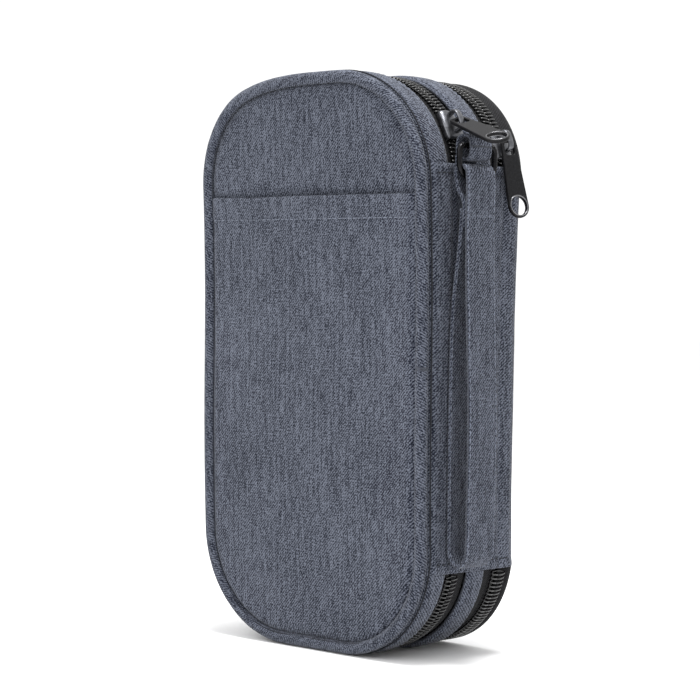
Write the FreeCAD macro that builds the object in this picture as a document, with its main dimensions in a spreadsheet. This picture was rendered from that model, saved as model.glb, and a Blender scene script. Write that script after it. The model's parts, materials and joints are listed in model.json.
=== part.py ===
import FreeCAD, Part
import Sketcher

import math
import os
import re

# A two-compartment travel wallet that stands on its bottom edge.
# +Z is up, +X points at the spine where both covers are hinged, -Y is the front cover's side.
# The origin is the middle of the middle section's bottom face, where its divider stands.

V = FreeCAD.Vector
doc = FreeCAD.newDocument("PassportWallet")

# ---------------------------------------------------------------- driving dimensions, millimetres
SIZES = [
    ("half_width", 67.0, "outline: half of the width across the covers"),
    ("tall", 250.0, "outline: overall height"),
    ("corner", 48.0, "outline: corner radius"),
    ("cloth", 1.6, "thickness of a lined gusset"),
    ("gap", 0.3, "clearance between pieces that move apart"),
    ("hem_low", 38.0, "lower hem of the spine panel"),
    ("hem_high", 210.0, "upper hem of the spine panel"),
    ("front_hinge", -28.3, "y of the seam that the front cover folds on"),
    ("back_hinge", 19.8, "y of the seam that the back cover folds on"),
    ("cord_radius", 2.75, "radius of the piping round the front panel"),
    ("layer", 0.1, "clearance between layers that are sewn to each other"),
    ("front_face", -32.0, "y of the front panel's outer face"),
    ("padding", 2.4, "thickness of the padded front panel"),
    ("panel_inset", 5.7, "from the outline to the front panel's edge, inside the piping"),
    ("slip_cloth", 0.9, "thickness of the slip pocket's cloth"),
    ("slip_top", 197.0, "height of the slip pocket's opening"),
    ("lining", 0.6, "thickness of a cover's lining"),
    ("board", 1.2, "thickness of the boards in the back cover and the spine"),
    ("back_face", 22.6, "y of the back panel's outer face"),
    ("back_inset", 4.6, "from the outline to the back cover's board and lining"),
    ("flap", 1.2, "thickness of an inner pocket on a cover"),
    ("passport_half", 50.0, "half width of a passport pocket"),
    ("passport_low", 14.0, "height of the lower passport pocket's bottom"),
    ("passport_tall", 84.0, "height of a passport pocket"),
    ("passport_step", 98.0, "from one passport pocket up to the next"),
    ("divider_half", 1.2, "half thickness of the divider"),
    ("slot_thick", 1.0, "thickness of one card slot"),
    ("slot_pitch", 1.1, "from one card slot's face to the next one's"),
    ("slot_half", 48.0, "half width of a card slot"),
    ("slot_low", 16.0, "height of the card slots' bottom"),
    ("slot_top", 112.0, "height of the tallest card slot's opening"),
    ("slot_step", 20.0, "each card slot is this much lower than the one behind it"),
    ("sleeve_side", 54.0, "half width of the mesh pocket and of the document pocket's near side"),
    ("sleeve_low", 12.0, "height of the mesh and document pockets' bottom"),
    ("sleeve_corner", 20.0, "corner radius of the mesh and document pockets"),
    ("document_top", 165.0, "height of the document pocket's opening"),
    ("mesh_top", 150.0, "height of the mesh pocket's opening"),
    ("spine_board_front", -25.5, "y of the spine board's front edge"),
    ("spine_board_back", 17.2, "y of the spine board's back edge"),
    ("spine_board_end", 12.0, "from a spine hem to the end of its board"),
    ("gusset_front", -19.0, "y where the front gusset meets its zip tape"),
    ("middle_half", 5.0, "half width of the middle gusset"),
    ("zip_centre", 12.0, "distance of each zip's centre line from the divider"),
    ("row_gap", 0.65, "from the zip's centre line to each coil row"),
    ("row_edge", 3.9, "from the zip's centre line to a coil row's outer edge"),
    ("tape_edge", 7.0, "from the zip's centre line to its tape's sewn edge"),
    ("coil_top", 0.6, "depth of the coil's crown below the outline"),
    ("tape_top", 2.6, "depth of the tape's outer face below the outline"),
    ("tape_low", 3.4, "depth of the tape's inner face below the outline"),
    ("front_end", 30.9, "height of the front cover's zip end above the corner's centre"),
    ("back_end", 25.5, "height of the back cover's zip end above the corner's centre"),
    ("hem_angle", 10.0, "angle of the upper hem round the corner's centre, degrees"),
    ("stub_over", 0.7, "how far a zip's end stretch reaches past its slider, degrees"),
    ("front_park", 31.0, "angle of the parked front slider round its corner, degrees"),
    ("back_park", 22.0, "angle of the parked back slider round its corner, degrees"),
    ("slider_sweep", 17.0, "angle that a slider covers round the corner, degrees"),
    ("play", 0.35, "clearance between a slider and the tape or coil in it"),
    ("wedge", 0.3, "half width of the wedge that parts the two rows inside a slider"),
    ("slider_half", 5.9, "half width of a slider"),
    ("plate", 1.3, "thickness of a slider's plates"),
    ("bridge_high", 5.2, "height of the slider's bridge above its plate"),
    ("bridge_wide", 2.4, "width of the slider's bridge"),
    ("bridge_half", 4.6, "half length of the slider's bridge"),
    ("pivot_high", 2.6, "height of the puller's bar above the slider's plate"),
    ("pull_long", 28.5, "from the puller's bar to the centre of its ring"),
    ("pull_ring", 5.5, "outer radius of the puller's ring"),
    ("pull_hole", 4.1, "radius of the hole in the puller's ring"),
    ("pull_head", 3.7, "half width of the puller's head"),
    ("pull_slot", 2.2, "half width of the puller's slot"),
    ("pull_thick", 1.6, "thickness of a puller"),
    ("pull_neck", 8.0, "from the puller's bar to where its tag starts to widen"),
    ("slot_near", 0.9, "from the puller's bar's middle to its slot"),
    ("slot_far", 6.4, "from the puller's bar's middle to the slot's far end"),
    ("bar_radius", 0.85, "radius of the puller's bar"),
    ("front_pitch", 18.0, "slope of the resting front puller below level, degrees"),
    ("back_pitch", 78.0, "slope of the hanging back puller below level, degrees"),
    ("ring_side", -11.8, "y of the middle of the tab, the D-ring and the wrist strap"),
    ("ring_out", 72.6, "x of the D-ring's straight bar"),
    ("ring_bar", 217.3, "z of the D-ring's straight bar"),
    ("ring_half", 10.3, "half width of the D-ring, to its wire's centre"),
    ("ring_drop", 13.0, "from the D-ring's bar down to its bow, wire centres"),
    ("ring_wire", 1.2, "radius of the D-ring's wire"),
    ("ring_bend", 6.0, "radius of the D-ring's lower bends"),
    ("ring_turn", 2.5, "radius of the D-ring's upper bends"),
    ("tab_half", 8.1, "half width of the tab"),
    ("tab_cloth", 1.3, "thickness of the tab's cloth"),
    ("tab_reach", 3.6, "from the D-ring's bar out to the tab's outer face"),
    ("tab_up", 5.0, "from the D-ring's bar up to the tab's top"),
    ("tab_down", 6.5, "from the D-ring's bar down to the tab's fold"),
    ("tail_low", 198.0, "height of the lower end of the tab's sewn tail"),
    ("tail_up", 3.5, "from the D-ring's bar down to where the tail meets the tab's loop"),
    ("tail_cloth", 1.1, "thickness of the tab's sewn tail"),
    ("strap_half", 8.5, "half width of the wrist strap"),
    ("strap_cloth", 1.5, "thickness of one layer of the wrist strap"),
    ("strap_low", 41.0, "z of the wrist strap's lower fold"),
    ("strap_join", 188.0, "z of the cross stitch that closes the strap's fold"),
    ("strap_out", 79.6, "x of the outer layer's outer face"),
    ("strap_in", 67.5, "x of the inner layer's inner face"),
    ("inner_spread", 26.0, "from the cross stitch down to where the inner layer hangs straight"),
    ("outer_spread", 75.0, "from the cross stitch down to where the outer layer hangs straight"),
    ("fold_radius", 4.2, "outer radius of the strap's fold round the D-ring"),
    ("fold_up", 1.2, "height of the fold's centre above the bow"),
]

sheet = doc.addObject("Spreadsheet::Sheet", "Sizes")
for row, (alias, value, note) in enumerate(SIZES, 1):
    sheet.set(f"A{row}", alias)
    sheet.set(f"B{row}", str(value))
    sheet.setAlias(f"B{row}", alias)
    sheet.set(f"C{row}", note)
doc.recompute()


def cells(text):
    """Turn 'half_width - gap' into an expression on the sheet's cells."""
    return re.sub(r"[a-z]\w*", lambda word: "Sizes." + word.group(), text)


def value_of(text):
    """The present value of an expression on the sheet's cells."""
    return float(sheet.evalExpression(cells(text)))


# ---------------------------------------------------------------- sketches and features
def origin_plane(body, role):
    return next(item for item in body.Origin.OriginFeatures if item.Role == role)


def new_sketch(body, role, name):
    sketch = body.newObject("Sketcher::SketchObject", f"{body.Name}_{name}")
    sketch.AttachmentSupport = [(origin_plane(body, role), "")]
    sketch.MapMode = "FlatFace"
    return sketch


def bind(sketch, index, name, text):
    sketch.renameConstraint(index, name)
    sketch.setExpression(f"Constraints.{name}", cells(text))


def distance_from_axis(sketch, kind, edge, point, name, text):
    """Fix a vertex's distance from the sketch's origin along X or Y, whichever side it lies on."""
    size = value_of(text)
    if size < 0:
        index = sketch.addConstraint(Sketcher.Constraint(kind, edge, point, -1, 1, -size))
        bind(sketch, index, name, f"-({text})")
    else:
        index = sketch.addConstraint(Sketcher.Constraint(kind, -1, 1, edge, point, size))
        bind(sketch, index, name, text)


def polygon(sketch, points, tag="p"):
    """A closed outline of straight edges; each corner is a pair of expressions."""
    places = [V(value_of(x), value_of(y), 0) for x, y in points]
    first = sketch.GeometryCount
    count = len(points)
    for here in range(count):
        sketch.addGeometry(Part.LineSegment(places[here], places[(here + 1) % count]), False)
    for here in range(count):
        after = first + (here + 1) % count
        sketch.addConstraint(Sketcher.Constraint("Coincident", first + here, 2, after, 1))
    for here, (x, y) in enumerate(points):
        distance_from_axis(sketch, "DistanceX", first + here, 1, f"{tag}x{here}", x)
        distance_from_axis(sketch, "DistanceY", first + here, 1, f"{tag}y{here}", y)


def circle(sketch, x, y, radius, tag="c"):
    size = value_of(radius)
    edge = sketch.addGeometry(Part.Circle(V(value_of(x), value_of(y), 0), V(0, 0, 1), size), False)
    distance_from_axis(sketch, "DistanceX", edge, 3, tag + "x", x)
    distance_from_axis(sketch, "DistanceY", edge, 3, tag + "y", y)
    bind(sketch, sketch.addConstraint(Sketcher.Constraint("Radius", edge, size)), tag + "r", radius)


def rounded_loop(sketch, left, right, low, high, radius, top_radius=None, tag="r"):
    """A rectangle with round corners: left, right, low, high and radii are expressions."""
    x0, x1, y0, y1 = (value_of(text) for text in (left, right, low, high))
    radii = [radius, radius, top_radius or radius, top_radius or radius]
    corners = [(x0, y0, 1, 1, 180), (x1, y0, -1, 1, 270), (x1, y1, -1, -1, 0), (x0, y1, 1, -1, 90)]
    arcs, ends = [], []
    for (x, y, across, up, start), text in zip(corners, radii):
        size = value_of(text)
        centre = V(x + across * size, y + up * size, 0)
        ring = Part.Circle(centre, V(0, 0, 1), size)
        arc = Part.ArcOfCircle(ring, math.radians(start), math.radians(start + 90))
        arcs.append(sketch.addGeometry(arc, False))
        ends.append((arc.StartPoint, arc.EndPoint))
    lines = []
    for here in range(4):
        line = Part.LineSegment(ends[here][1], ends[(here + 1) % 4][0])
        lines.append(sketch.addGeometry(line, False))
    for here in range(4):
        after = arcs[(here + 1) % 4]
        sketch.addConstraint(Sketcher.Constraint("Tangent", arcs[here], 2, lines[here], 1))
        sketch.addConstraint(Sketcher.Constraint("Tangent", lines[here], 2, after, 1))
        level = "Vertical" if here % 2 else "Horizontal"
        sketch.addConstraint(Sketcher.Constraint(level, lines[here]))
    for here, text in enumerate(radii):
        index = sketch.addConstraint(Sketcher.Constraint("Radius", arcs[here], value_of(text)))
        bind(sketch, index, f"{tag}radius{here}", text)
    distance_from_axis(sketch, "DistanceY", lines[0], 1, tag + "low", low)
    distance_from_axis(sketch, "DistanceX", lines[1], 1, tag + "right", right)
    distance_from_axis(sketch, "DistanceY", lines[2], 1, tag + "high", high)
    distance_from_axis(sketch, "DistanceX", lines[3], 1, tag + "left", left)


def outline(sketch, inset, tag="r"):
    """The wallet's outline, moved inwards by an inset."""
    width = f"half_width - ({inset})"
    rounded_loop(sketch, f"-({width})", width, inset, f"tall - ({inset})", f"corner - ({inset})", tag=tag)


NODES = []


def new_body(name):
    body = doc.addObject("PartDesign::Body", name)
    body.Label = name
    NODES.append(body)
    return body


def pad(body, sketch, length, midplane=False, reverse=False):
    feature = body.newObject("PartDesign::Pad", f"{sketch.Name}_pad")
    feature.Profile = sketch
    feature.Length = value_of(length)
    feature.setExpression("Length", cells(length))
    feature.Midplane = midplane
    feature.Reversed = reverse
    return feature


def pocket(body, sketch):
    """Cut the sketch through the whole piece, both ways, and see that it took something away."""
    doc.recompute()
    before = body.Shape.Volume
    feature = body.newObject("PartDesign::Pocket", f"{sketch.Name}_pocket")
    feature.Profile = sketch
    feature.Type = "ThroughAll"
    feature.Midplane = True
    doc.recompute()
    if body.Shape.Volume > before - 0.01:
        raise RuntimeError(f"{sketch.Name} cuts nothing")
    return feature


def between(body, low, sketch, high):
    """Pad an XZ sketch from y = low to y = high."""
    pad(body, sketch, f"({high}) - ({low})", reverse=True)
    body.setExpression("Placement.Base.y", cells(low))


def cut_rectangle(body, name, left, right, low, high):
    sketch = new_sketch(body, "XZ_Plane", name)
    polygon(sketch, [(left, low), (right, low), (right, high), (left, high)])
    pocket(body, sketch)


def slab(name, low, high, inset, top=None):
    """A panel with the wallet's outline; top cuts it off level at a height."""
    body = new_body(name)
    sketch = new_sketch(body, "XZ_Plane", "outline")
    outline(sketch, inset)
    between(body, low, sketch, high)
    if top:
        cut_rectangle(body, "opening", "-half_width - 1", "half_width + 1", top, "tall + 1")
    return body


def band(name, low, high, outer, inner, window_top):
    """A strip that follows the outline from hem to hem, open along the spine."""
    body = new_body(name)
    sketch = new_sketch(body, "XZ_Plane", "outline")
    outline(sketch, outer, "a")
    outline(sketch, inner, "b")
    between(body, low, sketch, high)
    cut_rectangle(body, "spine_window", "half_width - corner/2", "half_width + 1", "hem_low", window_top)
    return body


def sheet_of(name, low, high, left, right, bottom, top, radius="3"):
    """A flat pocket layer with round corners."""
    body = new_body(name)
    sketch = new_sketch(body, "XZ_Plane", "outline")
    rounded_loop(sketch, left, right, bottom, top, radius)
    between(body, low, sketch, high)
    return body


def box(name, left, right, low, high, bottom, top):
    body = new_body(name)
    sketch = new_sketch(body, "XZ_Plane", "outline")
    polygon(sketch, [(left, bottom), (right, bottom), (right, top), (left, top)])
    between(body, low, sketch, high)
    return body


def piping(name, middle_y, inset, radius):
    """A covered cord laid in a closed loop round a panel's edge."""
    body = new_body(name)
    path = new_sketch(body, "XZ_Plane", "path")
    outline(path, inset)
    section = new_sketch(body, "XY_Plane", "section")
    section.AttachmentOffset = FreeCAD.Placement(V(0, 0, value_of("tall/2")), FreeCAD.Rotation())
    section.setExpression("AttachmentOffset.Base.z", cells("tall/2"))
    circle(section, f"half_width - ({inset})", "0", radius)
    sweep = body.newObject("PartDesign::AdditivePipe", name + "_sweep")
    sweep.Profile = section
    sweep.Spine = path
    body.setExpression("Placement.Base.y", cells(middle_y))
    return body


def round_corner(body, middle, centre_y):
    """Put a body's own origin at the top corner's centre, its X axis pointing out at an angle."""
    body.Placement.Rotation = FreeCAD.Rotation(V(0, 1, 0), -value_of(middle))
    body.setExpression("Placement.Rotation.Angle", cells(f"-({middle})") + " * 1deg")
    body.setExpression("Placement.Base.x", cells("half_width - corner"))
    body.setExpression("Placement.Base.y", cells(centre_y))
    body.setExpression("Placement.Base.z", cells("tall - corner"))


def turned(name, points, sweep, middle, centre_y):
    """A section (radius, y) turned round the top corner's centre through an angle."""
    body = new_body(name)
    sketch = new_sketch(body, "XY_Plane", "section")
    polygon(sketch, points)
    feature = body.newObject("PartDesign::Revolution", name + "_turn")
    feature.Profile = sketch
    feature.ReferenceAxis = (origin_plane(body, "Y_Axis"), [""])
    feature.Angle = value_of(sweep)
    feature.setExpression("Angle", cells(sweep))
    feature.Midplane = True
    round_corner(body, middle, centre_y)
    return body


# ---------------------------------------------------------------- front cover
slab("front_panel", "front_face", "front_face + padding", "panel_inset")
slab("front_pocket", "front_face - layer - slip_cloth", "front_face - layer", "panel_inset + 2*layer",
     top="slip_top")
slab("front_board", "front_face + padding + layer", "front_hinge - layer", "panel_inset + 8*layer")
slab("front_lining", "front_hinge", "front_hinge + lining", "2*cloth + 2*layer")
band("front_gusset", "front_hinge", "gusset_front", "0", "cloth", "hem_high + gap")
for height, bottom in (("lower", "passport_low"), ("upper", "passport_low + passport_step")):
    sheet_of(f"passport_pocket_{height}", "front_hinge + lining + layer", "front_hinge + lining + layer + flap",
             "-passport_half", "passport_half", bottom, f"{bottom} + passport_tall")


piping("front_piping", "front_hinge - layer - cord_radius", "cord_radius", "cord_radius")

# ---------------------------------------------------------------- zips: one coil row on a tape each side
def zip_rows(side, centre, towards, park):
    """Tapes and coils of one zip. towards is the side of the cover: -1 in front, 1 behind."""
    def strip(near, far):
        ends = [f"({centre}) + ({towards})*({near})", f"({centre}) + ({towards})*({far})"]
        return ends if towards > 0 else ends[::-1]

    def inner_strip(near, far):
        ends = [f"({centre}) - ({towards})*({near})", f"({centre}) - ({towards})*({far})"]
        return ends[::-1] if towards > 0 else ends

    far_edge = "tape_edge" if towards < 0 else "back_hinge - zip_centre"
    cover_end = f"tall - corner + {side}_end"
    rows = (("tape", "row_gap", "tape_edge", "tape_top", "tape_low"),
            ("coil", "row_gap", "row_edge", "coil_top", "tape_top"))
    for piece, near, far, outer, inner in rows:
        outer_far = far_edge if piece == "tape" else far
        low, high = strip(near, outer_far)
        band(f"{side}_zip_{piece}_cover", low, high, outer, inner, cover_end)
        low, high = inner_strip(near, far)
        band(f"{side}_zip_{piece}_middle", low, high, outer, inner, "hem_high")
        # the short stretch under the parked slider stays with the middle section
        low, high = (f"({end}) - ({centre})" for end in strip(near, outer_far))
        stub_end = f"{park} + slider_sweep/2 + stub_over"
        turned(f"{side}_zip_{piece}_end",
               [(f"corner - {inner}", low), (f"corner - {outer}", low),
                (f"corner - {outer}", high), (f"corner - {inner}", high)],
               f"{stub_end} - hem_angle", f"({stub_end} + hem_angle)/2", centre)


zip_rows("front", "-zip_centre", -1, "front_park")
zip_rows("back", "zip_centre", 1, "back_park")

# ---------------------------------------------------------------- middle section
band("middle_gusset", "-middle_half", "middle_half", "0", "cloth", "hem_high")
box("spine_panel", "half_width - cloth", "half_width", "front_hinge + gap", "back_hinge - gap",
    "hem_low", "hem_high")
box("spine_board", "half_width - cloth - layer - board", "half_width - cloth - layer",
    "spine_board_front", "spine_board_back", "hem_low + spine_board_end", "hem_high - spine_board_end")
divider = new_body("divider_board")
divider_sketch = new_sketch(divider, "XZ_Plane", "outline")
rounded_loop(divider_sketch, "-half_width + cloth + layer", "half_width - 2*cloth - layer",
             "cloth + layer", "tall - cloth - layer", "corner - cloth - layer")
between(divider, "-divider_half", divider_sketch, "divider_half")
for step in range(3):
    low = f"-divider_half - slot_pitch*{step + 1} - layer"
    sheet_of(f"card_slot_{step + 1}", low, f"{low} + slot_thick", "-slot_half", "slot_half",
             "slot_low", f"slot_top - slot_step*{step}")
sheet_of("document_pocket", "divider_half + layer", "divider_half + slot_pitch + layer",
         "-sleeve_side", "sleeve_side", "sleeve_low", "document_top", "sleeve_corner")

# ---------------------------------------------------------------- back cover
slab("back_panel", "back_hinge + gap", "back_face", "gap")
board_back = "back_hinge + gap - layer"
lining_back = f"{board_back} - board - layer"
mesh_back = f"{lining_back} - lining - layer"
slab("back_board", f"{board_back} - board", board_back, "back_inset")
slab("back_lining", f"{lining_back} - lining", lining_back, "back_inset")
sheet_of("mesh_pocket", f"{mesh_back} - flap", mesh_back, "-sleeve_side", "sleeve_side",
         "sleeve_low", "mesh_top", "sleeve_corner")


# ---------------------------------------------------------------- sliders, their bridges and pullers
def slider(side, centre, park):
    top, lip, low = "corner + 1", "corner - tape_top + play", "corner - tape_low - play"
    wall, channel = "slider_half", "row_edge + play + layer"
    half = [(top, wall), (lip, wall), (lip, channel), (f"{top} - plate", channel),
            (f"{top} - plate", "wedge"), (low, "wedge"), (low, wall), (f"{low} - plate", wall)]
    other = [(radius, f"-({y})") for radius, y in reversed(half)]
    turned(f"{side}_slider", half + other, "slider_sweep", park, centre)
    # the bridge is an arch over the plate that the puller's bar hangs under
    body = new_body(f"{side}_bridge")
    sketch = new_sketch(body, "XZ_Plane", "arch")
    roof, inside = f"{top} + bridge_high", f"{top} + bridge_high - plate"
    sole, foot = f"{top} - layer", "bridge_half - plate"
    polygon(sketch, [(sole, "-bridge_half"), (roof, "-bridge_half"), (roof, "bridge_half"),
                     (sole, "bridge_half"), (sole, foot), (inside, foot),
                     (inside, f"-({foot})"), (sole, f"-({foot})")])
    pad(body, sketch, "bridge_wide", midplane=True)
    round_corner(body, park, centre)


def pivot_expression(base, reach, wave, angle):
    return f"{cells(base)} + {cells(reach)} * {wave}(Sizes.{angle} * 1deg)"


def puller(side, centre, park, pitch):
    """A flat tag with a slot at its head and a ring at its end, lying along its own X axis."""
    body = new_body(f"{side}_puller")
    tag = new_sketch(body, "XY_Plane", "tag")
    polygon(tag, [("0", "-pull_head"), ("pull_neck", "-pull_head"), ("pull_long", "-pull_ring"),
                  ("pull_long", "pull_ring"), ("pull_neck", "pull_head"), ("0", "pull_head")])
    pad(body, tag, "pull_thick", midplane=True)
    end = new_sketch(body, "XY_Plane", "ring")
    circle(end, "pull_long", "0", "pull_ring")
    pad(body, end, "pull_thick", midplane=True)
    bar = new_sketch(body, "XZ_Plane", "bar")
    circle(bar, "0", "0", "bar_radius")
    pad(body, bar, "2*pull_head", midplane=True)
    holes = new_sketch(body, "XY_Plane", "holes")
    circle(holes, "pull_long", "0", "pull_hole")
    polygon(holes, [("slot_near", "-pull_slot"), ("slot_far", "-pull_slot"),
                    ("slot_far", "pull_slot"), ("slot_near", "pull_slot")])
    pocket(body, holes)
    reach = "(corner + 1 + pivot_high)"
    body.Placement.Rotation = FreeCAD.Rotation(V(0, 1, 0), value_of(pitch))
    body.setExpression("Placement.Rotation.Angle", cells(pitch) + " * 1deg")
    body.setExpression("Placement.Base.x", pivot_expression("half_width - corner", reach, "cos", park))
    body.setExpression("Placement.Base.y", cells(centre))
    body.setExpression("Placement.Base.z", pivot_expression("tall - corner", reach, "sin", park))


for side, centre in (("front", "-zip_centre"), ("back", "zip_centre")):
    slider(side, centre, f"{side}_park")
    puller(side, centre, f"{side}_park", f"{side}_pitch")

# ---------------------------------------------------------------- tab, D-ring and wrist strap
tab = new_body("ring_tab")
tab_loop = new_sketch(tab, "XZ_Plane", "loop")
rounded_loop(tab_loop, "half_width + layer", "ring_out + tab_reach", "ring_bar - tab_down",
             "ring_bar + tab_up", "tab_cloth + 1.7", tag="a")
rounded_loop(tab_loop, "half_width + layer + tab_cloth", "ring_out + tab_reach - tab_cloth",
             "ring_bar - tab_down + tab_cloth", "ring_bar + tab_up - tab_cloth", "1.7", tag="b")
between(tab, "ring_side - tab_half", tab_loop, "ring_side + tab_half")
tab_tail = new_sketch(tab, "XZ_Plane", "tail")
polygon(tab_tail, [("half_width", "tail_low"), ("half_width + tail_cloth", "tail_low"),
                   ("half_width + tail_cloth", "ring_bar - tail_up"), ("half_width", "ring_bar - tail_up")])
pad(tab, tab_tail, "2*tab_half", reverse=True)

ring = new_body("d_ring")
bow = new_sketch(ring, "YZ_Plane", "bow")
rounded_loop(bow, "-ring_half", "ring_half", "-ring_drop", "0", "ring_bend", top_radius="ring_turn")
wire = new_sketch(ring, "XZ_Plane", "wire")
circle(wire, "0", "0", "ring_wire")
ring_sweep = ring.newObject("PartDesign::AdditivePipe", "d_ring_sweep")
ring_sweep.Profile = wire
ring_sweep.Spine = bow
for axis, cell in (("x", "ring_out"), ("y", "ring_side"), ("z", "ring_bar")):
    ring.setExpression(f"Placement.Base.{axis}", cells(cell))

strap = new_body("wrist_strap")
fold_z = "ring_bar - ring_drop + fold_up"
loop = new_sketch(strap, "XZ_Plane", "hand_loop")
polygon(loop, [("ring_out - strap_cloth", "strap_join"), ("strap_in", "strap_join - inner_spread"),
               ("strap_in", "strap_low + 5"), ("strap_in + 4", "strap_low"), ("strap_out - 4", "strap_low"),
               ("strap_out", "strap_low + 5"), ("strap_out", "strap_join - outer_spread"),
               ("ring_out + strap_cloth", "strap_join")], "a")
polygon(loop, [("ring_out", "strap_join - 4"), ("strap_in + strap_cloth", "strap_join - inner_spread - 2"),
               ("strap_in + strap_cloth", "strap_low + 5.6"), ("strap_in + 4.6", "strap_low + strap_cloth"),
               ("strap_out - 4.6", "strap_low + strap_cloth"), ("strap_out - strap_cloth", "strap_low + 5.6"),
               ("strap_out - strap_cloth", "strap_join - outer_spread - 2")], "b")
between(strap, "ring_side - strap_half", loop, "ring_side + strap_half")
stem = new_sketch(strap, "XZ_Plane", "stem")
polygon(stem, [("ring_out - strap_cloth", "strap_join - 3"), ("ring_out + strap_cloth", "strap_join - 3"),
               ("ring_out + strap_cloth", fold_z), ("ring_out - strap_cloth", fold_z)])
pad(strap, stem, "2*strap_half", reverse=True)
fold = new_sketch(strap, "XZ_Plane", "fold")
circle(fold, "ring_out", fold_z, "fold_radius")
pad(strap, fold, "2*strap_half", reverse=True)
tunnel = new_sketch(strap, "XZ_Plane", "tunnel")
circle(tunnel, "ring_out", fold_z, "fold_radius - strap_cloth")
pocket(strap, tunnel)

# ---------------------------------------------------------------- check and write
doc.recompute()
for item in doc.Objects:
    if "Invalid" in item.State or "Error" in item.State:
        raise RuntimeError(f"{item.Name} failed: {item.State}")
os.makedirs("parts", exist_ok=True)
for body in NODES:
    shape = body.Shape
    if shape.isNull() or not shape.isValid() or len(shape.Solids) != 1:
        raise RuntimeError(f"{body.Label} has no single valid solid")
    shape.exportStep(f"parts/{body.Label}.step")
    print(f"{body.Label:24s} {shape.Volume:10.1f} mm3")
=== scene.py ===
import bisect
import json
import math

import bmesh
import bpy
import numpy as np
from mathutils import Matrix, Vector, noise


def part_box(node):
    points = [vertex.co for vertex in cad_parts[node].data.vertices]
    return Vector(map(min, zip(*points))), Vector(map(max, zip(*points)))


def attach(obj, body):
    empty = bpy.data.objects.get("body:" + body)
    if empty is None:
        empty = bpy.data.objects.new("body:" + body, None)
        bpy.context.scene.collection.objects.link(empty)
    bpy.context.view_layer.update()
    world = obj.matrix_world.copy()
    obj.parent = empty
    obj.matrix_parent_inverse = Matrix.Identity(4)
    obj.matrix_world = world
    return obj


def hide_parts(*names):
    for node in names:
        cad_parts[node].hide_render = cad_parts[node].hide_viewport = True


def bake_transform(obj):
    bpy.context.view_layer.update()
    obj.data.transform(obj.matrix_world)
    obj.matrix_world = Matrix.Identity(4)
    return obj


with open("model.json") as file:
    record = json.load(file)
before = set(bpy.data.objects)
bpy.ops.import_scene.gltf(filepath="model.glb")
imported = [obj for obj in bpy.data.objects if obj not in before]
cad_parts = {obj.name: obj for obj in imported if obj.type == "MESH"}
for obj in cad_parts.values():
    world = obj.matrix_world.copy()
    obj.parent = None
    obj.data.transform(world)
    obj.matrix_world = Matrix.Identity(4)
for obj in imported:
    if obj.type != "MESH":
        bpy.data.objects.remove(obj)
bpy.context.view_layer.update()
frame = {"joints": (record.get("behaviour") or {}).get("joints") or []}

MM = 0.001
JOINTS = {joint["name"]: joint for joint in frame["joints"]}
AXIS_Y, AXIS_Z = Vector((0, 1, 0)), Vector((0, 0, 1))
OUT_FRONT, OUT_SPINE = Vector((0, -1, 0)), Vector((1, 0, 0))


# ------------------------------------ the wallet's outline, read from the frame
def low(node):
    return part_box(node)[0]


def high(node):
    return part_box(node)[1]


TALL = high("front_piping").z
HALF_WIDTH = high("front_piping").x
CORNER = HALF_WIDTH - JOINTS["front_slider_travel"]["pos_m"][0]
HEM_LOW, HEM_HIGH = low("spine_panel").z, high("spine_panel").z
FRONT_SEAM, BACK_SEAM = low("front_gusset").y, low("back_panel").y
GUSSET_FRONT = high("front_gusset").y
MIDDLE = high("middle_gusset").y
FRONT_ZIP, BACK_ZIP = JOINTS["front_slider_travel"]["pos_m"][1], JOINTS["back_slider_travel"]["pos_m"][1]
STRAIGHT_X, STRAIGHT_Z = HALF_WIDTH - CORNER, TALL - CORNER


def outline(place, inset=0.0):
    """A point on the outline and its outward direction. place counts metres along the outline of inset 0
    from the middle of the spine side, up and over the top, down the far side and back along the bottom."""
    half_side, quarter = TALL / 2 - CORNER, CORNER * math.pi / 2
    end_run = [quarter, 2 * STRAIGHT_X, quarter]
    runs = [half_side, *end_run, 2 * half_side, *end_run, half_side]
    corners = [(STRAIGHT_X, STRAIGHT_Z), (-STRAIGHT_X, STRAIGHT_Z),
               (-STRAIGHT_X, CORNER), (STRAIGHT_X, CORNER)]
    place %= sum(runs)
    side = 0
    while place > runs[side]:
        place -= runs[side]
        side += 1
    turn, on_arc = divmod(side, 2)
    if on_arc:
        angle = turn * math.pi / 2 + place / CORNER
        out = Vector((math.cos(angle), 0, math.sin(angle)))
        centre = Vector((corners[turn][0], 0, corners[turn][1]))
        return centre + out * (CORNER - inset), out
    angle = turn * math.pi / 2
    out = Vector((math.cos(angle), 0, math.sin(angle)))
    along = Vector((-math.sin(angle), 0, math.cos(angle)))
    if turn == 0:
        start = Vector((HALF_WIDTH, 0, TALL / 2))
    elif turn == 4:
        start = Vector((HALF_WIDTH, 0, CORNER))
    else:
        corner = corners[turn - 1]
        start = Vector((corner[0], 0, corner[1])) + out * CORNER
    return start + along * place - out * inset, out


def place_at_height(z, top=True):
    """How far along the outline the spine side's height z is."""
    if z <= STRAIGHT_Z and z >= CORNER:
        return z - TALL / 2
    rise = (z - STRAIGHT_Z) if top else (CORNER - z)
    arc = CORNER * math.asin(rise / CORNER)
    return TALL / 2 - CORNER + arc if top else LOOP - (TALL / 2 - CORNER) - arc


LOOP = 4 * STRAIGHT_X + 2 * (TALL - 2 * CORNER) + 2 * math.pi * CORNER
START = place_at_height(HEM_HIGH)            # the open run starts at the spine's upper hem
END = place_at_height(HEM_LOW, top=False)    # and ends at its lower hem

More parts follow.
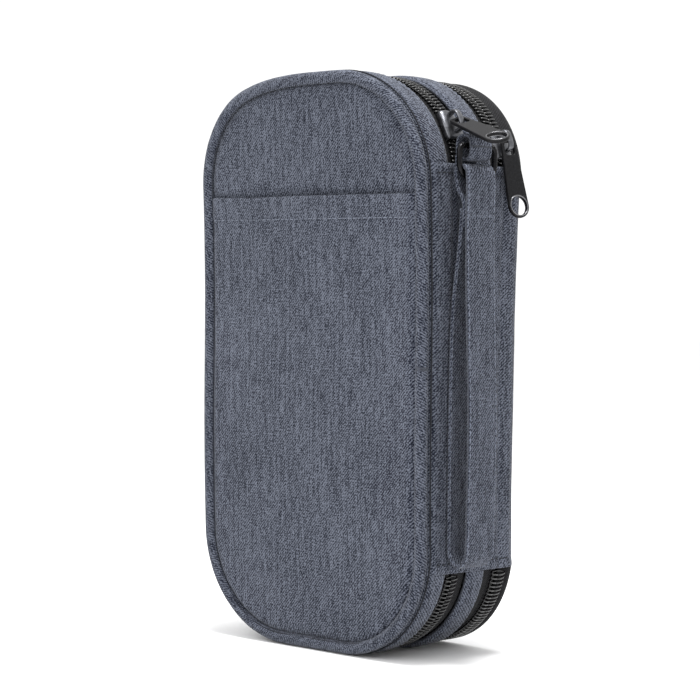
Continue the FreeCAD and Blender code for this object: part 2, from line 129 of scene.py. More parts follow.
# Soft bands don't stay flat. Towards the top they fan out along Y, towards the bottom they slide back, and
# the middle gusset flares where the two zips part. The covers swell, less so low down, and the far shoulder
# sags.
TOP_SLIDE, TOP_FAN, TOP_FLARE = 0.4 * MM, 0.12, 2.4 * MM
BOTTOM_SLIDE, BOTTOM_FAN, BOTTOM_FLARE = 5.0 * MM, 0.10, 1.5 * MM
FLARE_HALF = 4 * MM                                  # half of the width over which the flare changes sides
FRONT_OUT, FRONT_LEAN, BACK_OUT = 3.6 * MM, 1.1 * MM, 2.9 * MM
SAG, SAG_AT, SAG_WIDE = 2.2 * MM, -30 * MM, 17 * MM


def bow(point):
    """Where a point of the shell goes once the soft bands have spread."""
    height = abs(point.z - TALL / 2) / (TALL / 2)
    side = math.tanh(point.y / FLARE_HALF)
    if point.z > TALL / 2:
        shift = height ** 2 * (TOP_SLIDE + TOP_FAN * point.y + TOP_FLARE * side)
        swell, sag = 1.0, SAG * height ** 4 * math.exp(-((point.x - SAG_AT) / SAG_WIDE) ** 2)
    else:
        shift = height ** 4 * (BOTTOM_SLIDE + BOTTOM_FAN * point.y + BOTTOM_FLARE * side)
        swell, sag = 1 - height ** 2, 0.0
    front = smooth_step((GUSSET_FRONT - point.y) / (GUSSET_FRONT - FRONT_SEAM))
    shift -= swell * front * (FRONT_OUT - FRONT_LEAN * point.x / HALF_WIDTH)
    shift += swell * BACK_OUT * smooth_step((point.y - BACK_ZIP) / (BACK_SEAM - BACK_ZIP))
    return Vector((point.x, point.y + shift, point.z - sag))


def smooth_step(value):
    value = min(1.0, max(0.0, value))
    return value * value * (3 - 2 * value)


# ------------------------------------ mesh helpers
def add_mesh(name, verts, faces, uvs=None, smooth=True):
    """uvs is one pair in metres for each vertex: across and along the cloth."""
    mesh = bpy.data.meshes.new(name)
    mesh.from_pydata([tuple(v) for v in verts], [], faces)
    if uvs is not None:
        layer = mesh.uv_layers.new(name="cloth")
        for loop in mesh.loops:
            layer.data[loop.index].uv = uvs[loop.vertex_index]
    for polygon in mesh.polygons:
        polygon.use_smooth = smooth
    mesh.update()
    piece = bpy.data.objects.new(name, mesh)
    bpy.context.scene.collection.objects.link(piece)
    return piece


def grid_faces(rows, columns, closed_rows=False, closed_columns=False):
    faces = []
    for i in range(rows if closed_rows else rows - 1):
        for j in range(columns if closed_columns else columns - 1):
            a, b = i * columns + j, i * columns + (j + 1) % columns
            c = ((i + 1) % rows) * columns
            faces.append((a, b, c + (j + 1) % columns, c + j))
    return faces


def finish_piece(piece, body, material, replaced=()):
    piece.data.materials.append(material)
    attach(piece, body)
    if replaced:
        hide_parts(*replaced)
    return piece


def face_outwards(piece):
    work = bmesh.new()
    work.from_mesh(piece.data)
    bmesh.ops.recalc_face_normals(work, faces=work.faces)
    work.to_mesh(piece.data)
    work.free()


def solid_piece(name, verts, faces, uvs=None):
    """A closed mesh, its faces turned outwards."""
    piece = add_mesh(name, verts, faces, uvs)
    face_outwards(piece)
    return piece


def tube_faces(rows, columns, closed=False, first=0):
    """Faces round rows of columns points, from the vertex first on. An open tube gets its two end faces."""
    faces = grid_faces(rows, columns, closed_rows=closed, closed_columns=True)
    if not closed:
        faces.append(tuple(range(columns - 1, -1, -1)))
        faces.append(tuple((rows - 1) * columns + k for k in range(columns)))
    return [tuple(first + v for v in face) for face in faces]


def shell_faces(rows, columns):
    """Faces of two grids of one size, the second behind the first, and of the rim that joins them."""
    other = rows * columns
    grid = grid_faces(rows, columns)
    faces = [tuple(reversed(face)) for face in grid] + [tuple(other + v for v in face) for face in grid]
    rim = list(range(columns)) + [i * columns + columns - 1 for i in range(1, rows)]
    rim += [(rows - 1) * columns + j for j in range(columns - 2, -1, -1)]
    rim += [i * columns for i in range(rows - 2, 0, -1)]
    return faces + [(a, b, b + other, a + other) for a, b in zip(rim, rim[1:] + rim[:1])]


def move_points(piece, change):
    for vertex in piece.data.vertices:
        vertex.co = change(vertex.co)
    piece.data.update()
    return piece


def lengths_along(points):
    """The distance travelled at each point of a path."""
    run = [0.0]
    for a, b in zip(points, points[1:]):
        run.append(run[-1] + (Vector(b) - Vector(a)).length)
    return run


def span_at(travelled, distance):
    """The span of a path that a distance falls in, and how far along that span it is, from 0 to 1."""
    k = min(max(bisect.bisect_left(travelled, distance) - 1, 0), len(travelled) - 2)
    share = (distance - travelled[k]) / max(1e-9, travelled[k + 1] - travelled[k])
    return k, min(1.0, max(0.0, share))


def heading(points, i, closed=False):
    """The direction of a path at its point i."""
    count = len(points)
    before = points[(i - 1) % count] if closed else points[max(0, i - 1)]
    after = points[(i + 1) % count] if closed else points[min(count - 1, i + 1)]
    return (after - before).normalized()


def ring_points(centre, across, up, wide, high, count):
    """Points round an ellipse."""
    turns = [2 * math.pi * k / count for k in range(count)]
    return [centre + across * (wide * math.cos(turn)) + up * (high * math.sin(turn)) for turn in turns]


def ring_uvs(radius, run, count):
    return [(2 * math.pi * k / count * radius, run) for k in range(count)]


# ------------------------------------ materials
def new_material(name, colour=None, rough=0.6, metallic=0.0):
    material = bpy.data.materials.new(name)
    material.use_nodes = True
    shader = material.node_tree.nodes["Principled BSDF"]
    shader.inputs["Roughness"].default_value = rough
    shader.inputs["Metallic"].default_value = metallic
    if colour:
        shader.inputs["Base Color"].default_value = (*colour, 1)
    return material, material.node_tree, shader


def math_node(tree, operation, a, b=None, c=None):
    node = tree.nodes.new("ShaderNodeMath")
    node.operation = operation
    for socket, value in zip(node.inputs, (a, b, c)):
        if value is None:
            continue
        if isinstance(value, (int, float)):
            socket.default_value = value
        else:
            tree.links.new(value, socket)
    return node.outputs[0]


def noise_node(tree, vector, scale, stretch=(1, 1, 1), detail=2.0, rough=0.5):
    mapping = tree.nodes.new("ShaderNodeMapping")
    mapping.inputs["Scale"].default_value = stretch
    tree.links.new(vector, mapping.inputs["Vector"])
    node = tree.nodes.new("ShaderNodeTexNoise")
    node.inputs["Scale"].default_value = scale
    node.inputs["Detail"].default_value = detail
    node.inputs["Roughness"].default_value = rough
    tree.links.new(mapping.outputs[0], node.inputs["Vector"])
    return node.outputs["Fac"]


def ramp_node(tree, factor, stops):
    node = tree.nodes.new("ShaderNodeValToRGB")
    elements = node.color_ramp.elements
    while len(elements) < len(stops):
        elements.new(0.5)
    for element, (place, colour) in zip(elements, stops):
        element.position = place
        element.color = (*colour, 1)
    tree.links.new(factor, node.inputs["Fac"])
    return node.outputs["Color"]


def bump_node(tree, shader, height, distance, strength=1.0):
    node = tree.nodes.new("ShaderNodeBump")
    node.inputs["Strength"].default_value = strength
    node.inputs["Distance"].default_value = distance
    tree.links.new(height, node.inputs["Height"])
    tree.links.new(node.outputs[0], shader.inputs["Normal"])
    return node


def object_noise(tree, scale, stretch=(1, 1, 1), detail=2.0, rough=0.5):
    """Noise in the piece's own space; scale is in spots for each metre."""
    place = tree.nodes.new("ShaderNodeTexCoord")
    return noise_node(tree, place.outputs["Object"], scale, stretch, detail, rough)


def paint_base(tree, shader, factor, stops):
    tree.links.new(ramp_node(tree, factor, stops), shader.inputs["Base Color"])


def brighter(colour, times):
    return tuple(min(1, times * c) for c in colour)


def cloth_material(name, dark, light, pitch=1.05 * MM, lean=1.1, turned=0.0, heather=1.0, twill=1.0,
                   bump=0.2 * MM, sheen=0.08):
    """Woven cloth on the UV map named cloth, in metres. Steep twill lines, pitch apart, cross yarns whose
    shade differs: long flecks along the warp. turned rotates the weave, in radians."""
    material, tree, shader = new_material(name, rough=0.9)
    uv = tree.nodes.new("ShaderNodeUVMap")
    uv.uv_map = "cloth"
    turn = tree.nodes.new("ShaderNodeMapping")
    turn.inputs["Rotation"].default_value[2] = turned
    tree.links.new(uv.outputs[0], turn.inputs["Vector"])
    split = tree.nodes.new("ShaderNodeSeparateXYZ")
    tree.links.new(turn.outputs[0], split.inputs[0])

    def fleck(across, along, detail, rough=0.5):
        """Uneven yarn, in spots of across by along millimetres."""
        stretch = (1 / (across * MM), 1 / (along * MM), 1)
        return noise_node(tree, turn.outputs[0], 1.0, stretch, detail, rough)

    warp_fleck = fleck(0.8, 6, 3, 0.7)
    streak = fleck(1.5, 30, 2, 0.6)
    weft_fleck = fleck(2.6, 0.6, 2, 0.6)
    grain = fleck(0.6, 0.75, 2, 0.75)
    cloud = fleck(40, 55, 2)
    slope = math_node(tree, "MULTIPLY", split.outputs[1], -1.0)
    slope = math_node(tree, "MULTIPLY_ADD", split.outputs[0], lean, slope)
    slope = math_node(tree, "MULTIPLY_ADD", grain, 0.8 * MM, slope)
    turns = math_node(tree, "MULTIPLY", slope, 2 * math.pi / (pitch * math.hypot(lean, 1)))
    weave = math_node(tree, "MULTIPLY_ADD", math_node(tree, "SINE", turns), 0.5, 0.5)
    tone = 0.5
    for part, weight in ((warp_fleck, 1.5 * heather), (streak, 0.8 * heather), (weft_fleck, 1.1 * heather),
                         (grain, 3.2 * heather), (cloud, 0.3), (weave, 0.46 * twill)):
        tone = math_node(tree, "MULTIPLY_ADD", math_node(tree, "SUBTRACT", part, 0.5), weight, tone)
    middle = tuple(0.62 * a + 0.38 * b for a, b in zip(dark, light))
    paint_base(tree, shader, tone, [(0.22, dark), (0.5, middle), (0.80, light)])
    bump_node(tree, shader, math_node(tree, "MULTIPLY_ADD", grain, 0.9, weave), bump, 0.8)
    shader.inputs["Sheen Weight"].default_value = sheen
    shader.inputs["Sheen Roughness"].default_value = 0.5
    shader.inputs["Specular IOR Level"].default_value = 0.2
    return material


def metal_material(name, colour, rough, scratch=0.25):
    material, tree, shader = new_material(name, rough=rough, metallic=0.9)
    wear = object_noise(tree, 160, (1, 1, 3), detail=4, rough=0.7)
    paint_base(tree, shader, wear, [(0.35, colour), (0.75, brighter(colour, 2.1))])
    gloss = math_node(tree, "MULTIPLY_ADD", wear, scratch, rough - scratch / 2)
    tree.links.new(gloss, shader.inputs["Roughness"])
    bump_node(tree, shader, object_noise(tree, 900, detail=3), 0.01 * MM, 0.5)
    return material


def plastic_material(name, colour, rough):
    material, tree, shader = new_material(name, rough=rough)
    cloud = object_noise(tree, 300)
    paint_base(tree, shader, cloud, [(0.3, colour), (0.8, brighter(colour, 1.6))])
    tree.links.new(math_node(tree, "MULTIPLY_ADD", cloud, 0.2, rough - 0.1), shader.inputs["Roughness"])
    shader.inputs["IOR"].default_value = 1.6
    bump_node(tree, shader, object_noise(tree, 2500, detail=1), 0.01 * MM, 0.4)
    return material


def paint_material(name, colour, rough, ior):
    material, tree, shader = new_material(name, rough=rough)
    specks = object_noise(tree, 1600, detail=3, rough=0.8)
    paint_base(tree, shader, specks, [(0.4, colour), (0.75, brighter(colour, 4))])
    shader.inputs["IOR"].default_value = ior
    bump_node(tree, shader, specks, 0.02 * MM, 0.5)
    return material


def board_material(name, colour):
    material, tree, shader = new_material(name, rough=0.85)
    fibre = object_noise(tree, 700, (1, 1, 0.3), detail=4, rough=0.7)
    paint_base(tree, shader, fibre, [(0.3, colour), (0.7, brighter(colour, 1.25))])
    bump_node(tree, shader, fibre, 0.05 * MM, 0.5)
    return material


SHELL_DARK, SHELL_LIGHT = (0.0015, 0.0035, 0.0115), (0.112, 0.124, 0.158)
shell_cloth = cloth_material("shell_cloth", SHELL_DARK, SHELL_LIGHT)
piping_cloth = cloth_material("piping_cloth", SHELL_DARK, SHELL_LIGHT, turned=0.35, pitch=1.05 * MM)
band_cloth = cloth_material("band_cloth", SHELL_DARK, SHELL_LIGHT, lean=-1.1, twill=1.2)
strap_cloth = cloth_material("strap_cloth", SHELL_DARK, SHELL_LIGHT, pitch=1.1 * MM, twill=1.2)
lining_cloth = cloth_material("lining_cloth", (0.010, 0.011, 0.014), (0.050, 0.053, 0.063), pitch=0.7 * MM,
                              heather=0.4, bump=0.06 * MM, sheen=0.15)
pocket_cloth = cloth_material("pocket_cloth", (0.016, 0.017, 0.021), (0.070, 0.075, 0.090), pitch=0.8 * MM,
                              heather=0.5, bump=0.07 * MM, sheen=0.15)
mesh_cloth = cloth_material("mesh_cloth", (0.003, 0.003, 0.004), (0.06, 0.06, 0.066), pitch=2.0 * MM,
                            heather=0.2, twill=1.8, bump=0.25 * MM, sheen=0.1)
tape_cloth = cloth_material("tape_cloth", (0.002, 0.002, 0.0025), (0.014, 0.014, 0.016), pitch=0.9 * MM,
                            heather=0.4, bump=0.12 * MM, sheen=0.04)
thread = cloth_material("thread", (0.04, 0.046, 0.064), (0.19, 0.215, 0.28), pitch=0.5 * MM, heather=0.5,
                        bump=0.05 * MM, sheen=0.3)
seam_thread = cloth_material("seam_thread", (0.003, 0.004, 0.006), (0.018, 0.020, 0.028), pitch=0.5 * MM,
                             heather=0.4, bump=0.05 * MM)
coil_plastic = plastic_material("coil_plastic", (0.003, 0.003, 0.0035), 0.20)
slider_metal = metal_material("slider_metal", (0.075, 0.077, 0.084), 0.34)
black_metal = metal_material("black_metal", (0.009, 0.009, 0.010), 0.28)
# the puller rings' raised rims: metal made lighter than the slider's, a painted highlight along each rim
rim_painted_highlight_metal = metal_material("rim_painted_highlight_metal", (0.10, 0.10, 0.105), 0.25)
puller_paint = paint_material("puller_paint", (0.004, 0.004, 0.0045), 0.42, 1.22)
stiffener = board_material("stiffener", (0.28, 0.26, 0.23))


# ------------------------------------ shapes that many pieces share
CORNER_ROWS, ROW_STEP, ROW_APART = 14, 3.0 * MM, 0.2 * MM


def shape_rows(inset, top=None):
    """Heights of a panel's rows and the panel's half width at each, for the outline moved in by inset."""
    radius = CORNER - inset
    quarter = [k / CORNER_ROWS * math.pi / 2 for k in range(CORNER_ROWS + 1)]
    middle = max(2, round((STRAIGHT_Z - CORNER) / ROW_STEP))
    heights = [CORNER - radius * math.cos(turn) for turn in quarter]
    heights += [CORNER + (STRAIGHT_Z - CORNER) * k / middle for k in range(1, middle)]
    heights += [STRAIGHT_Z + radius * math.sin(turn) for turn in quarter]
    high_end = TALL - inset if top is None else top
    heights = [z for z in heights if inset + ROW_APART < z < high_end - ROW_APART]
    rows = []
    for z in [inset, *heights, high_end]:
        over = max(0.0, z - STRAIGHT_Z, CORNER - z)
        rows.append((z, STRAIGHT_X + math.sqrt(max(0.0, radius * radius - over * over))))
    return rows


def edge_distance(x, z):
    """How far inside the outline a point is."""
    over_x, over_z = max(0.0, abs(x) - STRAIGHT_X), max(0.0, z - STRAIGHT_Z, CORNER - z)
    if over_x and over_z:
        return CORNER - math.hypot(over_x, over_z)
    return min(HALF_WIDTH - abs(x), z, TALL - z)


def wave(x, z, seed, size):
    return noise.noise(Vector((x / size + seed * 7.31, z / size - seed * 3.17, seed * 1.7)))


def cloth_slab(name, rows, front, back, columns=46):
    """A closed panel between the surfaces y = front(x, z) and y = back(x, z). Its rows are (height, half
    width) or (height, (left, right)), and its columns stand closer together near the sides."""
    bend = 0.46 * math.pi
    shares = []
    for k in range(columns):
        even = 2 * k / (columns - 1) - 1
        shares.append(0.45 * math.sin(even * bend) / math.sin(bend) + 0.55 * even)
    verts, uvs = [], []
    for surface in (front, back):
        for z, half in rows:
            left, right = half if isinstance(half, tuple) else (-half, half)
            for share in shares:
                x = left + (right - left) * (share + 1) / 2
                verts.append(Vector((x, surface(x, z), z)))
                uvs.append((x, z))
    return solid_piece(name, verts, shell_faces(len(rows), columns), uvs)


def arc_points(x, y, radius, turns):
    """Points round a circle, at turns in degrees."""
    angles = [math.radians(turn) for turn in turns]
    return [(x + radius * math.cos(angle), y + radius * math.sin(angle)) for angle in angles]


def subdivide(piece):
    modifier = piece.modifiers.new("smooth", "SUBSURF")
    modifier.levels = modifier.render_levels = 1
    applied = bpy.data.meshes.new_from_object(piece.evaluated_get(bpy.context.evaluated_depsgraph_get()))
    piece.modifiers.clear()
    old, piece.data = piece.data, applied
    bpy.data.meshes.remove(old)
    piece.data.name = piece.name


def tube_along(name, points, radius, sides=8, closed=False, up=AXIS_Y, taper=None):
    """A round tube through points. up fixes its roll, and taper scales its radius at each point."""
    verts, uvs = [], []
    for i, (point, run) in enumerate(zip(points, lengths_along(points))):
        along = heading(points, i, closed)
        side = along.cross(up).normalized()
        size = radius * (taper[i] if taper else 1.0)
        verts += ring_points(point, side, side.cross(along), size, size, sides)
        uvs += ring_uvs(radius, run, sides)
    return solid_piece(name, verts, tube_faces(len(points), sides, closed), uvs)


# a stitch's rings: place along it in shares of its length, then rise and thickness in shares of its radius
STITCH_RINGS = ((-0.5, -0.9, 0.45), (-0.42, -0.1, 0.9), (-0.2, 0.35, 1.0),
                (0.2, 0.35, 1.0), (0.42, -0.1, 0.9), (0.5, -0.9, 0.45))
STITCH_SIDES = 6


def stitch_run(name, points, outs, length=2.5 * MM, gap=0.8 * MM, radius=0.24 * MM, lean=0.0, phase=0.0):
    """Sewn thread along a path: separate stitches that dip into the cloth at both ends. outs point away from
    the cloth. lean slants each stitch across the path."""
    travelled = lengths_along(points)
    verts, faces, uvs = [], [], []
    place = phase + gap / 2
    while place + length < travelled[-1]:
        faces += tube_faces(len(STITCH_RINGS), STITCH_SIDES, first=len(verts))
        for along_share, rise, size in STITCH_RINGS:
            k, share = span_at(travelled, place + length * (0.5 + along_share))
            out = outs[k].lerp(outs[k + 1], share).normalized()
            across = (points[k + 1] - points[k]).normalized().cross(out)
            centre = points[k].lerp(points[k + 1], share)
            centre += out * (radius * rise) + across * (lean * along_share)
            verts += ring_points(centre, across, out, radius * size, radius * size, STITCH_SIDES)
            uvs += ring_uvs(radius, place + length * along_share, STITCH_SIDES)
        place += length + gap
    return solid_piece(name, verts, faces, uvs)


# ------------------------------------ front cover
PANEL_INSET = 4.3 * MM
SEAM_Y = low("front_panel").y + 2.1 * MM           # where the panel dives under the piping
POCKET_TOP = high("front_pocket").z
HEM = 10.0 * MM                                    # the slip pocket's folded hem
PANEL_Y = low("front_panel").y


def panel_face(x, z):
    """Outer face of the front panel: soft, and pulled in towards the seam all round."""
    near = smooth_step((edge_distance(x, z) - PANEL_INSET + 1 * MM) / (5.2 * MM))
    ripple = 0.45 * MM * wave(x, z, 3, 60 * MM) + 0.18 * MM * wave(x, z, 5, 22 * MM)
    above = z - POCKET_TOP
    sink = 1.0 * MM * near * math.exp(-(max(0.0, above) / (2.4 * MM)) ** 2) if above > -3 * MM else 0.0
    return SEAM_Y + (PANEL_Y - SEAM_Y) * near - near * ripple + sink


def pocket_face(x, z):
    """Outer face of the slip pocket, over the panel. Its hem is a little thicker; its stitch line dips."""
    near = smooth_step((edge_distance(x, z) - PANEL_INSET + 1 * MM) / (5.0 * MM))
    below = POCKET_TOP - z
    hem = smooth_step((HEM + 0.8 * MM - below) / (0.8 * MM))
    dip = math.exp(-((below - HEM) / (0.9 * MM)) ** 2)
    slack = math.exp(-below / (26 * MM)) * math.cos(x / HALF_WIDTH * math.pi / 2) ** 2
    ripple = 0.40 * MM * wave(x, z, 8, 48 * MM) + 0.22 * MM * wave(x, z, 11, 17 * MM)
    lift = 0.95 * MM + hem * 0.30 * MM - dip * 0.30 * MM + slack * 0.9 * MM
    lift *= smooth_step((edge_distance(x, z) - PANEL_INSET + 0.5 * MM) / (3.5 * MM)) * 0.85 + 0.15
    return SEAM_Y + (PANEL_Y - SEAM_Y) * near - near * ripple - lift


panel_rows = shape_rows(PANEL_INSET)
for rise in (-3.2 * MM, -2.8 * MM, -1 * MM, 0, 1 * MM, 2 * MM, 3 * MM, 4 * MM):
    panel_rows.append((POCKET_TOP + rise, HALF_WIDTH - PANEL_INSET))
front_panel = cloth_slab("front_panel_cloth", sorted(set(panel_rows)), panel_face,
                         lambda x, z: high("front_panel").y)
finish_piece(move_points(front_panel, bow), "front_cover", shell_cloth, ["front_panel"])

pocket_rows = shape_rows(PANEL_INSET, top=POCKET_TOP)
top_row = pocket_rows.pop()
pocket_drops = [HEM + step * MM for step in (2.4, 1.2, 0.6, 0, -0.6, -1.2, -2.4)]
pocket_drops += [0.75 * MM, 0.4 * MM, 0.12 * MM]
pocket_rows += [(POCKET_TOP - drop, HALF_WIDTH - PANEL_INSET) for drop in pocket_drops]
pocket_rows = sorted(set(pocket_rows)) + [top_row]


EDGE_ROLL = 0.75 * MM                              # the opening's folded edge turns in over this height


def turn_in(z, depth):
    share = 1 - min(1.0, (POCKET_TOP - z) / EDGE_ROLL)
    return depth * (1 - math.sqrt(1 - share ** 2))


def pocket_front(x, z):
    return pocket_face(x, z) + turn_in(z, 0.6 * MM)


def pocket_back(x, z):
    hem = smooth_step((HEM + 0.8 * MM - (POCKET_TOP - z)) / (0.8 * MM))
    edge = smooth_step((edge_distance(x, z) - PANEL_INSET) / (3 * MM))
    thick = (0.72 * MM + 0.45 * MM * hem) * (0.35 + 0.65 * edge)
    return pocket_face(x, z) + thick - turn_in(z, 0.35 * MM)


slip_pocket = cloth_slab("slip_pocket", pocket_rows, pocket_front, pocket_back)
finish_piece(move_points(slip_pocket, bow), "front_cover", shell_cloth, ["front_pocket"])

hem_reach = HALF_WIDTH - 7 * MM
hem_line = [Vector((x, 0, POCKET_TOP - HEM)) for x in np.linspace(-hem_reach, hem_reach, 90)]
for point in hem_line:
    point.y = pocket_face(point.x, point.z) - 0.05 * MM
hem_stitches = stitch_run("slip_pocket_stitches", [bow(p) for p in hem_line], [OUT_FRONT] * len(hem_line),
                          length=2.2 * MM, gap=0.7 * MM, radius=0.20 * MM)
finish_piece(hem_stitches, "front_cover", thread)

# the piping: a covered cord that lies on the seam all round the panel, between two rows of dark seam
PIPE_RADIUS = (high("front_piping").y - low("front_piping").y) / 2
PIPE_Y = (high("front_piping").y + low("front_piping").y) / 2
PIPE_ROWS, SEAM_ROWS = 420, 300
pipe_points = []
for k in range(PIPE_ROWS):
    point, out = outline(LOOP * k / PIPE_ROWS, PIPE_RADIUS)
    wobble = 0.12 * MM * noise.noise(Vector((point.x / (14 * MM), 5.0, point.z / (14 * MM))))
    pipe_points.append(bow(Vector((point.x, PIPE_Y + wobble, point.z)) + out * (wobble * 0.5)))
for seam, inset, seam_y in (("in", PANEL_INSET + 0.15 * MM, PIPE_Y - 0.55 * PIPE_RADIUS),
                            ("out", 0.05 * MM, FRONT_SEAM)):
    groove = [outline(LOOP * k / SEAM_ROWS, inset)[0] for k in range(SEAM_ROWS)]
    groove = [bow(Vector((point.x, seam_y, point.z))) for point in groove]
    sewn = tube_along(f"front_piping_seam_{seam}", groove, 0.34 * MM, closed=True)
    finish_piece(sewn, "front_cover", seam_thread)
pipe_taper = [1 + 0.018 * noise.noise(Vector((k * 0.35, 2.0, 0))) for k in range(PIPE_ROWS)]
pipe = tube_along("front_piping_cord", pipe_points, PIPE_RADIUS, sides=22, closed=True, taper=pipe_taper)
finish_piece(pipe, "front_cover", piping_cloth, ["front_piping"])

# ------------------------------------ gussets, tapes and coils round the outline
BAND_STEP, STITCH_STEP = 2.2 * MM, 2.0 * MM


def outline_points(start, stop, step):
    """Points and outward directions at even steps along the outline."""
    count = max(2, round((stop - start) / step))
    return [outline(start + (stop - start) * k / count) for k in range(count + 1)]


def band_piece(name, start, stop, section, warp=None):
    """Sweep a section of (y, height over the outline) pairs along the outline. warp moves a section point
    with the distance along the outline."""
    run = outline_points(start, stop, BAND_STEP)
    span = (stop - start) / (len(run) - 1)
    girth = lengths_along(section)
    verts, uvs = [], []
    for i, (point, out) in enumerate(run):
        for across, (y, height) in zip(girth, section):
            if warp:
                y, height = warp(y, height, start + i * span)
            spot = point + out * height
            verts.append(Vector((spot.x, y, spot.z)))
            uvs.append((across, i * span))
    return solid_piece(name, verts, tube_faces(len(run), len(section)), uvs)


EDGE_TURN = 2.0 * MM                               # a strip's edges roll inwards over this width


def strip_section(left, right, thick, crown, roll_left, roll_right, count=13):
    """A cloth strip's section: crowned outer side, and edges rolled inwards by roll_left and roll_right."""
    outer, inner = [], []
    for k in range(count):
        share = k / (count - 1)
        y = left + (right - left) * share
        height = -0.1 * MM + crown * (1 - (2 * share - 1) ** 2)
        height -= roll_left * (1 - smooth_step((y - left) / EDGE_TURN))
        height -= roll_right * (1 - smooth_step((right - y) / EDGE_TURN))
        outer.append((y, height))
        inner.append((min(max(y, left + 0.25 * MM), right - 0.25 * MM), height - thick))
    return outer + inner[::-1]


def cloth_waver(seed, size, amount):
    """Slow unevenness along a sewn strip."""
    def warp(y, height, place):
        drift = noise.noise(Vector((place / size, seed, y / (6 * MM))))
        shift = noise.noise(Vector((place / size, seed + 9.1, 0)))
        return y + shift * amount * 0.5, height + drift * amount
    return warp


def gusset_piece(node, body, section, waver):
    piece = band_piece(f"{node}_cloth", START - 1.0 * MM, END + 1.0 * MM, section, warp=waver)
    finish_piece(move_points(piece, bow), body, band_cloth, [node])


# each gusset laps 0.1 mm past its seams
front_profile = strip_section(FRONT_SEAM - 0.1 * MM, GUSSET_FRONT + 0.1 * MM, thick=1.1 * MM, crown=0.35 * MM,
                              roll_left=2.1 * MM, roll_right=0.55 * MM)
middle_profile = strip_section(-MIDDLE - 0.1 * MM, MIDDLE + 0.1 * MM, thick=1.1 * MM, crown=0.5 * MM,
                               roll_left=0.9 * MM, roll_right=0.9 * MM, count=17)
gusset_piece("front_gusset", "front_cover", front_profile, cloth_waver(2.0, 21 * MM, 0.16 * MM))
gusset_piece("middle_gusset", "middle_section", middle_profile, cloth_waver(4.0, 23 * MM, 0.15 * MM))


def edge_stitches(name, y, body, phase):
    """Stitches along a gusset's edge, at the depth y and sunk a little into the cloth."""
    run = outline_points(START + 1.5 * MM, END - 1.5 * MM, STITCH_STEP)
    points = [bow(Vector((p.x, y, p.z)) - out * (0.12 * MM)) for p, out in run]
    piece = stitch_run(name, points, [out for _, out in run], length=2.3 * MM, gap=0.9 * MM, radius=0.19 * MM,
                       phase=phase)
    finish_piece(piece, body, thread)


edge_stitches("front_gusset_stitches", GUSSET_FRONT - 1.3 * MM, "front_cover", 0.3 * MM)
edge_stitches("middle_gusset_stitches_front", -MIDDLE + 1.4 * MM, "middle_section", 0.9 * MM)
edge_stitches("middle_gusset_stitches_back", MIDDLE - 1.4 * MM, "middle_section", 1.5 * MM)

# zips: the cover's row stops at the parked slider, and a short stretch beyond it stays with the middle
# section
TAPE_TOP, TAPE_LOW = -2.6 * MM, -3.4 * MM
ROW_OUT = -0.6 * MM                                # the coil's crown
PITCH = 2.0 * MM
ROW_HALF, ROW_HIGH, FILAMENT = 1.62 * MM, 0.66 * MM, 0.43 * MM
TURN_POINTS, WIRE_SIDES = 14, 6
ROW_MESH = 0.30 * MM                               # how far the heads cross the centre line
TAPE_GAP = 0.55 * MM                               # from the centre line to each tape


def place_of_angle(angle):
    """Distance along the outline of an angle round the spine side's top corner."""
    return TALL / 2 - CORNER + CORNER * angle


def drift(centre_y, z):
    """How far a zip's coils lie off the middle of their gap."""
    height = (z - TALL / 2) / (TALL / 2)
    if centre_y > 0:
        return 2.6 * MM * smooth_step(-1.6 * height)
    return 1.3 * MM * height if height > 0 else 2.0 * MM * height


def zip_node(name):
    """The CAD node that a zip's piece stands in for."""
    side, part = name.split("_", 1)
    return f"{side}_zip_{part.replace('on_', '')}"


TAPE_EDGE, TAPE_RIB, COILS_HOLD = 0.15 * MM, 0.5 * MM, 7.5 * MM


def zip_tape(name, body, start, stop, near, far):
    """A ribbed tape from near to far along Y, which follows the coils beside it."""
    left, right = min(near, far), max(near, far)
    ribs = max(6, round((right - left) / TAPE_RIB))
    centre = BACK_ZIP if near + far > 0 else -BACK_ZIP

    def rise(y):
        # behind the back zip the tape climbs to the cover's edge
        return 1.7 * MM * smooth_step((y - BACK_ZIP - 3.5 * MM) / (4.5 * MM))

    def with_coils(point):
        share = max(0.0, 1 - abs(point.y - centre) / COILS_HOLD)
        return bow(point + AXIS_Y * (drift(centre, point.z) * share))

    section = [(left, TAPE_TOP - TAPE_EDGE + rise(left))]
    for k in range(1, ribs):
        y = left + (right - left) * k / ribs
        section.append((y, TAPE_TOP + rise(y) + (0.07 * MM if k % 2 else -0.05 * MM)))
    section += [(right, TAPE_TOP - TAPE_EDGE + rise(right)), (right, TAPE_LOW), (left, TAPE_LOW)]
    piece = move_points(band_piece(name, start, stop, section), with_coils)
    finish_piece(piece, body, tape_cloth, [zip_node(name)])


